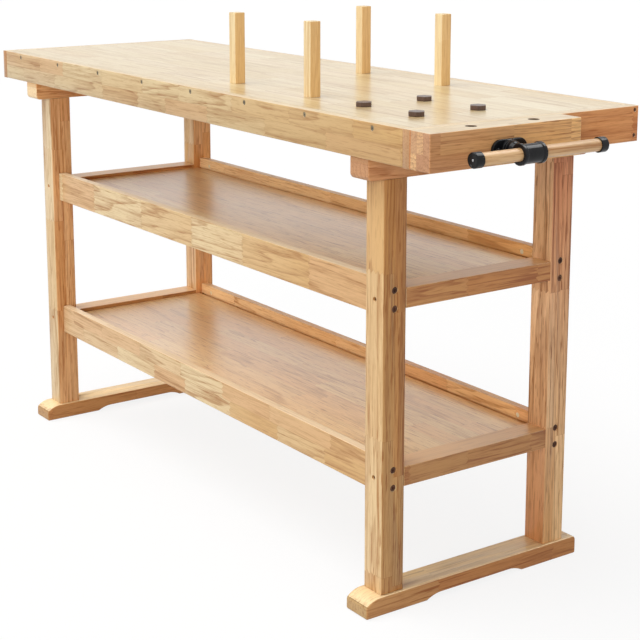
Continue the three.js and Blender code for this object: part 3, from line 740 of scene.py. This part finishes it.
# wooden parts: softened copies of the solids
wooden = {
    "rail": 1.8 * mm, "leg": 2.4 * mm, "foot": 3.4 * mm, "bearer": 2.0 * mm, "endRail": 1.8 * mm,
    "shelf": 0.5 * mm, "apron": 2.2 * mm, "jaw": 2.2 * mm, "panel": 0.45 * mm, "block": 2.0 * mm,
    "rim": 0.3 * mm, "apronRim": 0.2 * mm, "jawRim": 0.8 * mm, "panelRim": 0.5 * mm, "blockRim": 0.4 * mm,
}
plug = {
    "radius": 4.6 * mm, "depth": 9 * mm, "sunk": 0.5 * mm,
    "first": -0.7232, "step": 0.19, "count": 8, "drop": 9 * mm,
}
endScrew = {"radius": 3.6 * mm, "depth": 9 * mm, "sunk": 0.8 * mm, "inset": 9 * mm, "heights": (0.85, 0.806)}
legScrew = {"radius": 4.2 * mm, "depth": 11 * mm, "sunk": 3.0 * mm, "heights": (0.553, 0.2405)}
shelfGap = {"width": 6 * mm, "depth": 9 * mm}
apronSeam = {"share": 0.2, "top": mm, "side": 10 * mm, "end": 4 * mm, "longApron": 1.0}


def railEdges(low, high, point):
    # only the long corners of an end rail; its tenons stay square
    places = edgePlaces(low, high, point)
    return 1.0 if places[0] and places[2] else 0.0


def footEdges(low, high, point):
    # the toe's end is rounded on top as well
    return 1.0 if xSides(low, high, point) or point.y < low.y + meshWork["side"] else 0.0


def apronEdges(low, high, point):
    # soft outside corners, tight seams towards the panel and the neighbouring aprons
    places = edgePlaces(low, high, point)
    if sum(places) < 2:
        return 0.0
    if high.x - low.x > apronSeam["longApron"]:
        inside = abs(point.y) < cadHigh.y - apronSeam["side"]
        seam = places[0] or inside and point.z > high.z - apronSeam["top"]
    else:
        seam = abs(point.x) < max(abs(low.x), abs(high.x)) - apronSeam["end"]
    return apronSeam["share"] if seam else 1.0


def backRabbet(shelf, rail):
    # the narrow open gap between a shelf's upper face and its back rail
    low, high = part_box(shelf)
    front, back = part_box(rail)[0].y - shelfGap["width"], high.y + mm
    bottom, top = high.z - shelfGap["depth"], high.z + mm
    corners = ((front, bottom), (back, bottom), (back, top), (front, top))
    return ringMesh("cutter", [[(x, y, z) for y, z in corners] for x in (low.x - mm, high.x + mm)])


for node, material in (
    ("upper_front_rail", "upperRail"), ("upper_back_rail", "backRail"),
    ("lower_front_rail", "lowerRail"), ("lower_back_rail", "backRail"),
):
    seat(dressNode(node, wooden["rail"], material, rimWidth=wooden["rim"]), "bench", "honey_wood", node)

legScrewPlaces = []
for row, outward in (("front", -1), ("back", 1)):
    for side in ("left", "right"):
        node = f"{row}_{side}_leg"
        leg = dressNode(node, wooden["leg"], pieceName(node), rimWidth=wooden["rim"])
        middle = boxMiddle(node)
        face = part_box(node)[0 if outward < 0 else 1].y
        spots = [(middle.x, 0, z) for z in legScrew["heights"]]
        legScrewPlaces += drillRow(leg, "Y", face, outward, legScrew, spots)
        seat(leg, "bench", "honey_wood", node)

for side in ("left", "right"):
    foot, bearer = f"{side}_foot", f"{side}_bearer"
    seat(dressNode(foot, wooden["foot"], "footWood", weigh=footEdges), "bench", "honey_wood", foot)
    seat(dressNode(bearer, wooden["bearer"], f"{side}Cross", weigh=xSides), "bench", "amber_wood", bearer)
    for level in ("upper", "lower"):
        node = f"{level}_{side}_end_rail"
        endRail = dressNode(node, wooden["endRail"], f"{level}EndRail", weigh=railEdges)
        seat(endRail, "bench", "amber_wood", node)
for level in ("upper", "lower"):
    node = f"{level}_shelf"
    shelf = dressNode(node, wooden["shelf"], "amberShelf")
    carve(shelf, [backRabbet(node, f"{level}_back_rail")])
    seat(shelf, "bench", "amber_wood", node)

plugPlaces = []
for node, outward in (("front_apron", -1), ("back_apron", 1)):
    apron = dressNode(node, wooden["apron"], "apronWood", weigh=apronEdges, rimWidth=wooden["apronRim"])
    low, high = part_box(node)
    face = low.y if outward < 0 else high.y
    spots = [(plug["first"] + plug["step"] * i, 0, high.z - plug["drop"]) for i in range(plug["count"])]
    plugPlaces += drillRow(apron, "Y", face, outward, plug, spots)
    seat(apron, "bench", "honey_wood", node)

endScrewPlaces = []
for node, outward, rows in (("left_end_apron", -1, (-1, 1)), ("right_end_apron", 1, (1,))):
    apron = dressNode(node, wooden["apron"], "endApron", weigh=apronEdges, rimWidth=wooden["apronRim"])
    low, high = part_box(node)
    face = low.x if outward < 0 else high.x
    spots = [(0, row * (high.y - endScrew["inset"]), z) for row in rows for z in endScrew["heights"]]
    endScrewPlaces += drillRow(apron, "X", face, outward, endScrew, spots)
    seat(apron, "bench", "amber_wood", node)

panel = dressNode("top_panel", wooden["panel"], "paleTop", rimWidth=wooden["panelRim"])
seat(panel, "bench", "pale_wood", "top_panel")
block = dressNode("guide_block", wooden["block"], "rightCross", rimWidth=wooden["blockRim"])
seat(block, "bench", "honey_wood", "guide_block")
jaw = dressNode("vise_jaw", wooden["jaw"], "jawWood", rimWidth=wooden["jawRim"])
seat(jaw, "vise_jaw", "amber_wood", "vise_jaw")
print("wooden parts softened and drilled")


# dogs and posts
peg = {"dogBevel": 1.1 * mm, "postBevel": 1.3 * mm, "dogHead": 8.5 * mm, "postHead": 135.5 * mm}


def headEdges(low, high, point):
    return 1.0 if point.z > high.z - peg["dogHead"] else 0.0


def postEdges(low, high, point):
    return 1.0 if sum(edgePlaces(low, high, point)) >= 2 and point.z > high.z - peg["postHead"] else 0.0


for row in ("front", "back"):
    for side in ("left", "right"):
        dog, post = f"{row}_{side}_dog", f"{row}_{side}_post"
        seat(dressNode(dog, peg["dogBevel"], "darkDog", weigh=headEdges), dog, "dark_wood", dog)
        seat(dressNode(post, peg["postBevel"], "postWood", weigh=postEdges), post, "honey_wood", post)
print("dogs and posts dressed")


# screws, bolts and nuts: one tree of geometry nodes, set out on points with an aim
fastenerForm = {
    "headSides": 40, "shankSides": 24, "spare": 0.2 * mm,
    "coneReach": 2 * mm, "overlap": 0.4, "slotReach": 2.4,
}


def buildFastenerTree():
    form = fastenerForm
    tree = bpy.data.node_groups.new("fastenerSet", "GeometryNodeTree")
    sizes = (
        "Head Radius", "Head Height", "Chamfer", "Shank Radius", "Shank Length",
        "Socket Radius", "Socket Depth",
    )
    kinds = {"Geometry": "Geometry", **dict.fromkeys(sizes, "Float")}
    kinds.update({"Slotted": "Bool", "Seed": "Int", "Material": "Material"})
    for label, kind in kinds.items():
        tree.interface.new_socket(name=label, in_out="INPUT", socket_type="NodeSocket" + kind)
    tree.interface.new_socket(name="Geometry", in_out="OUTPUT", socket_type="NodeSocketGeometry")
    given = tree.nodes.new("NodeGroupInput").outputs
    made = tree.nodes.new("NodeGroupOutput").inputs

    def cylinder(sides, radius, depth):
        values = {"Vertices": sides, "Radius": radius, "Depth": depth}
        return put(tree, "GeometryNodeMeshCylinder", values).outputs[0]

    def move(mesh, z):
        offset = put(tree, "ShaderNodeCombineXYZ", {2: z}).outputs[0]
        return put(tree, "GeometryNodeTransform", {"Geometry": mesh, "Translation": offset}).outputs[0]

    def together(operation, *meshes):
        node = put(tree, "GeometryNodeMeshBoolean", operation=operation, solver="EXACT")
        for mesh in meshes:
            feed(tree, node.inputs["Mesh 2"], mesh)
        return node.outputs[0]

    # head: a drum cut by a wide cone, so that its rim is chamfered
    drumDepth = calc(tree, "ADD", given["Head Height"], form["spare"])
    drum = cylinder(form["headSides"], given["Head Radius"], drumDepth)
    drumDrop = calc(tree, "SUBTRACT", given["Head Height"], form["spare"])
    drum = move(drum, calc(tree, "MULTIPLY", drumDrop, -0.5))
    top = calc(tree, "SUBTRACT", given["Head Radius"], given["Chamfer"])
    reach = calc(tree, "ADD", given["Head Height"], form["coneReach"])
    wide = calc(tree, "ADD", top, reach)
    coneSize = {"Vertices": form["headSides"], "Radius Top": top, "Radius Bottom": wide, "Depth": reach}
    cone = put(tree, "GeometryNodeMeshCone", coneSize).outputs[0]
    head = together("INTERSECT", drum, move(cone, calc(tree, "MULTIPLY", reach, -1.0)))
    overlap = calc(tree, "MULTIPLY", given["Head Height"], form["overlap"])
    length = calc(tree, "ADD", given["Shank Length"], overlap)
    shank = cylinder(form["shankSides"], given["Shank Radius"], length)
    low = calc(tree, "ADD", given["Head Height"], given["Shank Length"])
    shank = move(shank, calc(tree, "SUBTRACT", calc(tree, "MULTIPLY", length, 0.5), low))
    body = together("UNION", head, shank)
    # driver recess: six sided, or a slot right across
    twice = calc(tree, "MULTIPLY", given["Socket Depth"], 2.0)
    hexHole = cylinder(6, given["Socket Radius"], twice)
    across = calc(tree, "MULTIPLY", given["Head Radius"], form["slotReach"])
    slotSize = put(tree, "ShaderNodeCombineXYZ", {0: across, 1: given["Socket Radius"], 2: twice}).outputs[0]
    slotHole = put(tree, "GeometryNodeMeshCube", {"Size": slotSize}).outputs[0]
    choice = {"Switch": given["Slotted"], "False": hexHole, "True": slotHole}
    recess = put(tree, "GeometryNodeSwitch", choice, input_type="GEOMETRY").outputs[0]
    cut = {"Mesh 1": body, "Mesh 2": recess}
    fastener = put(tree, "GeometryNodeMeshBoolean", cut, operation="DIFFERENCE", solver="EXACT").outputs[0]
    # each one stands along its aim, turned at random
    aim = put(tree, "GeometryNodeInputNamedAttribute", {"Name": "aim"}, data_type="FLOAT_VECTOR").outputs[0]
    stand = put(tree, "FunctionNodeAlignRotationToVector", {"Vector": aim}, axis="Z").outputs[0]
    twist = put(tree, "FunctionNodeRandomValue", {"Seed": given["Seed"]}, data_type="FLOAT")
    feed(tree, twist.inputs[3], math.tau)
    turn = {"Axis": (0, 0, 1), "Angle": twist.outputs[1]}
    spin = put(tree, "FunctionNodeAxisAngleToRotation", turn).outputs[0]
    facing = put(tree, "FunctionNodeRotateRotation", {0: stand, 1: spin}, rotation_space="LOCAL").outputs[0]
    setOut = {"Points": given["Geometry"], "Instance": fastener, "Rotation": facing}
    points = put(tree, "GeometryNodeInstanceOnPoints", setOut).outputs[0]
    whole = put(tree, "GeometryNodeRealizeInstances", {"Geometry": points}).outputs[0]
    finish = {"Geometry": whole, "Material": given["Material"]}
    feed(tree, made["Geometry"], put(tree, "GeometryNodeSetMaterial", finish).outputs[0])
    return tree


fastenerTree = buildFastenerTree()


def fasteners(name, places, sizes, material):
    mesh = bpy.data.meshes.new(name)
    mesh.from_pydata([place for place, aim in places], [], [])
    aims = mesh.attributes.new("aim", "FLOAT_VECTOR", "POINT")
    for i, (place, aim) in enumerate(places):
        aims.data[i].vector = aim
    piece = bpy.data.objects.new(name, mesh)
    scene.collection.objects.link(piece)
    setOut = piece.modifiers.new("setOut", "NODES")
    setOut.node_group = fastenerTree
    for item in fastenerTree.interface.items_tree:
        if item.in_out == "INPUT" and item.name in sizes:
            setOut[item.identifier] = sizes[item.name]
        elif item.in_out == "INPUT" and item.name == "Material":
            setOut[item.identifier] = looks[material]
    settle(piece)
    cleanMesh(piece.data)
    piece.data.shade_smooth()
    piece.data.set_sharp_from_angle(angle=meshWork["fastenerSharp"])
    return piece


railBolt = {
    "Head Radius": 6.0 * mm, "Head Height": 5 * mm, "Chamfer": 0.8 * mm, "Shank Radius": 3 * mm,
    "Shank Length": 92 * mm, "Socket Radius": 2.9 * mm, "Socket Depth": 2.2 * mm, "Seed": 4,
}
barrelNut = {
    "Head Radius": 4.8 * mm, "Head Height": 12 * mm, "Chamfer": 0.5 * mm, "Shank Radius": 2 * mm,
    "Shank Length": -1 * mm, "Socket Radius": 1.5 * mm, "Socket Depth": 1.6 * mm, "Slotted": True, "Seed": 8,
}
apronPlug = {
    "Head Radius": 4.4 * mm, "Head Height": 6 * mm, "Chamfer": 0.5 * mm, "Shank Radius": 2 * mm,
    "Shank Length": -1 * mm, "Socket Radius": 1.8 * mm, "Socket Depth": 1.8 * mm, "Seed": 15,
}
smallScrew = {
    "Head Radius": 3.4 * mm, "Head Height": 3 * mm, "Chamfer": 0.6 * mm, "Shank Radius": 1.6 * mm,
    "Shank Length": 4 * mm, "Socket Radius": 1.6 * mm, "Socket Depth": 1.6 * mm, "Seed": 16,
}
coverScrew = {
    "Head Radius": 4.4 * mm, "Head Height": 2.6 * mm, "Chamfer": 1.0 * mm, "Shank Radius": 2.4 * mm,
    "Shank Length": 25 * mm, "Socket Radius": 1.7 * mm, "Socket Depth": 1.4 * mm, "Seed": 23,
}
capPin = {
    "Head Radius": 1.8 * mm, "Head Height": 2.0 * mm, "Chamfer": 0.5 * mm, "Shank Radius": 1.2 * mm,
    "Shank Length": 1.5 * mm, "Socket Radius": 0.8 * mm, "Socket Depth": 0.7 * mm, "Seed": 42,
}
nutSeat = {"inset": 45 * mm, "sunk": 0.5 * mm}

boltNodes = [
    f"{level}_{row}_{side}_bolt_{i}"
    for level in ("upper", "lower") for row in ("front", "back") for side in ("left", "right") for i in (1, 2)
]
boltPlaces = []
nutPlaces = []
for node in boltNodes:
    level, row, side = node.split("_")[:3]
    low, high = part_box(node)
    middle = (low + high) / 2
    railLow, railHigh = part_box(f"{level}_{row}_rail")
    outward, head, end = -1, low.x, railLow.x + nutSeat["inset"]
    if side == "right":
        outward, head, end = 1, high.x, railHigh.x - nutSeat["inset"]
    inward, inner = (1, railHigh.y) if row == "front" else (-1, railLow.y)
    boltPlaces.append(((head, middle.y, middle.z), (outward, 0, 0)))
    nutPlaces.append(((end, inner - inward * nutSeat["sunk"], middle.z), (0, inward, 0)))
seat(fasteners("railBolts", boltPlaces, railBolt, "darkBolt"), "bench", "bronze_steel", *boltNodes)
seat(fasteners("barrelNuts", nutPlaces, barrelNut, "brassNut"), "bench", "bronze_steel")
seat(fasteners("apronPlugs", plugPlaces, apronPlug, "greyScrew"), "bench", "bronze_steel")
seat(fasteners("endApronScrews", endScrewPlaces, smallScrew, "darkBolt"), "bench", "bronze_steel")
seat(fasteners("legScrews", legScrewPlaces, smallScrew, "darkBolt"), "bench", "bronze_steel")
coverNodes = ("flange_screw_1", "flange_screw_2")
coverPlaces = []
for node in coverNodes:
    middle = boxMiddle(node)
    coverPlaces.append(((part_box(node)[1].x, middle.y, middle.z), (1, 0, 0)))
seat(fasteners("flangeScrews", coverPlaces, coverScrew, "castBlack"), "vise_jaw", "black_metal", *coverNodes)
print("fasteners set out")


# vise: castings with soft corners, a threaded screw, guide rods and the handle
axis = boxMiddle("vise_screw")
handleAxis = boxMiddle("vise_handle")
casting = {"voxel": 0.6 * mm, "passes": 5, "share": 0.5}


def castPiece(name, meshes, material):
    piece = newPiece(name, joinMeshes(name, meshes), material)
    skin = piece.modifiers.new("skin", "REMESH")
    skin.mode = "VOXEL"
    skin.voxel_size = casting["voxel"]
    soften = piece.modifiers.new("soften", "SMOOTH")
    soften.factor = casting["share"]
    soften.iterations = casting["passes"]
    settle(piece)
    return piece


def smoothCast(piece):
    cleanMesh(piece.data)
    piece.data.shade_smooth()
    piece.data.set_sharp_from_angle(angle=meshWork["castSharp"])


hub = {
    "flare": 15 * mm, "flareLength": 5 * mm, "neck": 12.5 * mm, "socket": 9.3 * mm, "socketDepth": 14 * mm,
    "sleeve": 16 * mm, "ring": 17.5 * mm, "ringWidth": 6 * mm, "ringStep": 0.4 * mm, "sleeveSides": 72,
    "bore": 10.8 * mm, "boreFlare": 0.7 * mm, "boreLip": 0.05 * mm, "boreRim": 0.8 * mm, "boreSides": 64,
}
hubLow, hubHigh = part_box("vise_hub")


def makeHub():
    start = hubLow.x
    neck = turned("hubNeck", "X", [
        (start, hub["flare"]), (start + hub["flareLength"], hub["flare"]),
        (start + 2 * hub["flareLength"], hub["neck"]), (handleAxis.x, hub["neck"]),
    ], axis)
    front, back = hubLow.y + hub["ringWidth"], hubHigh.y - hub["ringWidth"]
    sleeve = turned("hubSleeve", "Y", [
        (hubLow.y, hub["ring"]), (front, hub["ring"]), (front + hub["ringStep"], hub["sleeve"]),
        (back - hub["ringStep"], hub["sleeve"]), (back, hub["ring"]), (hubHigh.y, hub["ring"]),
    ], handleAxis, sides=hub["sleeveSides"])
    piece = castPiece("viseHub", [neck, sleeve], "castBlack")
    wide = hub["bore"] + hub["boreFlare"]
    bore = turned("cutter", "Y", [
        (hubLow.y - mm, wide), (hubLow.y + hub["boreLip"], wide), (hubLow.y + hub["boreRim"], hub["bore"]),
        (hubHigh.y - hub["boreRim"], hub["bore"]), (hubHigh.y - hub["boreLip"], wide), (hubHigh.y + mm, wide),
    ], handleAxis, sides=hub["boreSides"])
    depths = (start - mm, start + hub["socketDepth"])
    socket = turned("cutter", "X", [(depth, hub["socket"]) for depth in depths], axis)
    carve(piece, [bore, socket])
    smoothCast(piece)
    seat(piece, "vise_screw", "black_metal", "vise_hub")


flange = {
    "plate": 5 * mm, "sides": 72, "bore": 9.3 * mm, "screwHole": 2.7 * mm, "holeSides": 24,
    "boss": 16 * mm, "bossEdge": 1.2 * mm, "cove": 1.6 * mm, "coveFoot": 1.4 * mm,
    "rim": ((1.2 * mm, 0), (0.4 * mm, 0.4 * mm), (0, 1.3 * mm)),  # how far behind the plate's face, and inset
}
flangeLow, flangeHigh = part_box("vise_flange")


def makeFlange():
    # stadium plate with rounded front corners
    outer = (flangeHigh.z - flangeLow.z) / 2
    straight = (flangeHigh.y - flangeLow.y) / 2 - outer
    rings = []
    for depth, inset in [(0, 0)] + [(flange["plate"] - behind, inset) for behind, inset in flange["rim"]]:
        radius = outer - inset
        ring = []
        for i in range(flange["sides"]):
            angle = math.tau * (i + 0.5) / flange["sides"]
            side = straight if math.cos(angle) > 0 else -straight
            y = axis.y + side + radius * math.cos(angle)
            ring.append((flangeLow.x + depth, y, axis.z + radius * math.sin(angle)))
        rings.append(ring)
    face = flangeLow.x + flange["plate"]
    boss = turned("flangeBoss", "X", [
        (flangeLow.x + mm, flange["boss"] + flange["cove"]), (face, flange["boss"] + flange["coveFoot"]),
        (face + flange["cove"], flange["boss"]),
        *roundedEnd(flangeHigh.x, flange["boss"], flange["bossEdge"], 1),
    ], axis)
    piece = castPiece("viseFlange", [ringMesh("flangePlate", rings), boss], "castBlack")
    through = (flangeLow.x - mm, flangeHigh.x + mm)
    cuts = [turned("cutter", "X", [(x, flange["bore"]) for x in through], axis)]
    screwHole = [(x, flange["screwHole"]) for x in through]
    for place, aim in coverPlaces:
        cuts.append(turned("cutter", "X", screwHole, place, sides=flange["holeSides"]))
    carve(piece, cuts)
    smoothCast(piece)
    seat(piece, "vise_jaw", "black_metal", "vise_flange")


screw = {
    "lead": 6 * mm, "root": 6.9 * mm, "crest": 8.9 * mm, "rootShare": 0.14, "flankShare": 0.12,
    "rows": 12, "sides": 48, "endGap": 0.1 * mm, "tip": 0.6 * mm, "tipLength": 3 * mm,
    "plain": 12 * mm, "runOut": 1.2 * mm, "plainStart": 3 * mm,
    "collar": 14.9 * mm, "collarGap": 0.3 * mm, "collarWidth": 8 * mm, "collarEdge": 0.6 * mm,
}
screwLow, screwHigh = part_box("vise_screw")
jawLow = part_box("vise_jaw")[0]


def makeScrew():
    # the thread is one skin of rings whose radius follows the helix
    start = screwLow.x + screw["endGap"]
    front = jawLow.x + screw["collarGap"]
    back = front + screw["collarWidth"]
    threadEnd = front - screw["plain"]
    count = int((threadEnd - start) / screw["lead"] * screw["rows"])
    rings = []
    for i in range(count + 1):
        x = start + (threadEnd - start) * i / count
        limit = screw["root"] - screw["tip"] + min(x - start, screw["tipLength"])
        ring = []
        for j in range(screw["sides"]):
            angle = math.tau * j / screw["sides"]
            phase = (x / screw["lead"] - j / screw["sides"]) % 1.0
            rise = (0.5 - abs(phase - 0.5) - screw["rootShare"]) / screw["flankShare"]
            rise = min(1.0, max(0.0, rise))
            radius = min(screw["root"] + (screw["crest"] - screw["root"]) * rise, limit)
            ring.append(turnPoint("X", x, radius, angle, axis))
        rings.append(ring)
    collar, edge = screw["collar"], screw["collarEdge"]
    tail = [
        (threadEnd + screw["runOut"], screw["root"]), (threadEnd + screw["plainStart"], screw["crest"]),
        (front, screw["crest"]), (front, collar - edge), (front + edge, collar),
        (back - edge, collar), (back, collar - edge), (back, screw["crest"]), (screwHigh.x, screw["crest"]),
    ]
    rings += [turnRing("X", along, radius, axis, screw["sides"]) for along, radius in tail]
    piece = newPiece("viseScrew", ringMesh("viseScrew", rings), "turnedSteel")
    seat(piece, "vise_screw", "bright_steel", "vise_screw")


guide = {"edge": 1.0 * mm, "nutEdge": 1.4 * mm, "nutRim": 0.5 * mm}


def makeGuides():
    for node in ("front_guide_rod", "back_guide_rod"):
        low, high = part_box(node)
        profile = roundedBar(low.x, high.x, (high.z - low.z) / 2, guide["edge"])
        rod = newPiece(pieceName(node), turned(node, "X", profile, boxMiddle(node)), "turnedSteel")
        seat(rod, "vise_jaw", "bright_steel", node)
    viseNut = dressNode("vise_nut", guide["nutEdge"], "castBlack", rimWidth=guide["nutRim"])
    seat(viseNut, "bench", "black_metal", "vise_nut")


handle = {
    "edge": 1.2 * mm, "inside": 10.8 * mm, "wall": 4 * mm, "lip": 0.7 * mm, "capEdge": 2.2 * mm,
    "dish": 0.8 * mm, "dishRadius": 8.5 * mm, "dishEdge": 0.6 * mm, "pinSunk": 0.1 * mm,
}


def makeHandle():
    low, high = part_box("vise_handle")
    profile = roundedBar(low.y, high.y, (high.x - low.x) / 2, handle["edge"])
    bar = newPiece("viseHandle", turned("viseHandle", "Y", profile, handleAxis), "handleWood")
    seat(bar, "vise_handle", "honey_wood", "vise_handle")
    pins = []
    for node, outward in (("front_handle_cap", -1), ("back_handle_cap", 1)):
        low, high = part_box(node)
        outer = (high.x - low.x) / 2
        end, mouth = (low.y, high.y) if outward < 0 else (high.y, low.y)
        floor = end - outward * handle["wall"]
        dish = end - outward * handle["dish"]
        profile = [
            (floor, 0.0), (floor, handle["inside"]), (mouth, handle["inside"]),
            (mouth, outer - handle["lip"]), (mouth + outward * handle["lip"], outer),
            *roundedEnd(end, outer, handle["capEdge"], outward, steps=5),
            (end, handle["dishRadius"] + handle["dishEdge"]), (dish, handle["dishRadius"]), (dish, 0.0),
        ]
        cap = newPiece(pieceName(node), turned(node, "Y", profile, handleAxis), "mouldedBlack")
        seat(cap, "vise_handle", "black_plastic", node)
        pins.append(((handleAxis.x, end - outward * handle["pinSunk"], handleAxis.z), (0, outward, 0)))
    seat(fasteners("capPins", pins, capPin, "turnedSteel"), "vise_handle", "bright_steel")


makeHub()
makeFlange()
makeScrew()
makeGuides()
makeHandle()
print("vise made")


# camera, at the photograph's angle
cameraLook = {
    "place": (2.55712, -1.7172, 1.21089), "azimuth": 54.981, "elevation": 11.287,
    "lens": 87.32, "sensor": 36, "shift": -0.18, "far": 100,
}


def makeCamera():
    a, e = math.radians(cameraLook["azimuth"]), math.radians(cameraLook["elevation"])
    forward = Vector((-math.sin(a) * math.cos(e), math.cos(a) * math.cos(e), -math.sin(e)))
    data = bpy.data.cameras.new("camera")
    data.lens = cameraLook["lens"]
    data.sensor_width = cameraLook["sensor"]
    data.shift_y = cameraLook["shift"]
    data.clip_end = cameraLook["far"]
    camera = bpy.data.objects.new("camera", data)
    camera.location = cameraLook["place"]
    camera.rotation_euler = forward.to_track_quat("-Z", "Y").to_euler()
    scene.collection.objects.link(camera)
    scene.camera = camera


# light: a pale room, a soft sun from above, a low one from beside the camera, and a glint from behind
lightLook = {"room": 0.37}
floorLook = {
    "half": 40, "drop": 0.5 * mm, "tone": (0.6, 0.6, 0.6, 1), "roughness": 0.9, "glow": 1.13, "mix": 0.75,
}
sunLooks = {
    "overheadSun": {"energy": 2.0, "softness": 50, "glint": True, "from": (-0.25, -0.35, 0.9)},
    "frontSun": {"energy": 2.1, "softness": 44, "glint": False, "from": (0.62, -0.77, 0.13)},
    "backGlint": {"energy": 1.6, "softness": 36, "glint": True, "fill": False, "from": (0.0, 0.56, 0.83)},
}


def seenDirectly(tree):
    path = put(tree, "ShaderNodeLightPath").outputs
    seen = calc(tree, "ADD", path["Is Camera Ray"], path["Is Glossy Ray"])
    return calc(tree, "ADD", seen, path["Is Transmission Ray"], clamp=True)


def makeRoom():
    world = bpy.data.worlds.new("room")
    scene.world = world
    world.use_nodes = True
    tree = world.node_tree
    lift = calc(tree, "MULTIPLY", seenDirectly(tree), 1.0 - lightLook["room"])
    level = calc(tree, "ADD", lightLook["room"], lift)
    feed(tree, tree.nodes["Background"].inputs["Color"], (1, 1, 1, 1))
    feed(tree, tree.nodes["Background"].inputs["Strength"], level)
    for name, look in sunLooks.items():
        data = bpy.data.lights.new(name, "SUN")
        data.energy = look["energy"]
        data.angle = math.radians(look["softness"])
        lamp = bpy.data.objects.new(name, data)
        lamp.rotation_euler = (-Vector(look["from"])).to_track_quat("-Z", "Y").to_euler()
        lamp.visible_glossy = look["glint"]
        lamp.visible_diffuse = look.get("fill", True)
        scene.collection.objects.link(lamp)


def makeFloor():
    half = floorLook["half"]
    corners = [(-half, -half, 0), (half, -half, 0), (half, half, 0), (-half, half, 0)]
    mesh = bpy.data.meshes.new("floor")
    mesh.from_pydata(corners, [], [(0, 1, 2, 3)])
    floor = bpy.data.objects.new("floor", mesh)
    floor.location.z = -floorLook["drop"]
    scene.collection.objects.link(floor)
    material, tree, shader = newMaterial("paleFloor")
    shader.inputs["Base Color"].default_value = floorLook["tone"]
    shader.inputs["Roughness"].default_value = floorLook["roughness"]
    shader.inputs["Specular IOR Level"].default_value = 0.0
    glow = put(tree, "ShaderNodeEmission", {"Color": (1, 1, 1, 1), "Strength": floorLook["glow"]})
    share = calc(tree, "MULTIPLY", seenDirectly(tree), floorLook["mix"])
    blend = put(tree, "ShaderNodeMixShader", {0: share, 1: shader.outputs[0], 2: glow.outputs[0]})
    feed(tree, tree.nodes["Material Output"].inputs["Surface"], blend.outputs[0])
    mesh.materials.append(material)
    floor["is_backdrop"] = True


makeCamera()
makeRoom()
makeFloor()
scene.view_settings.view_transform = "Standard"

low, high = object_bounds()
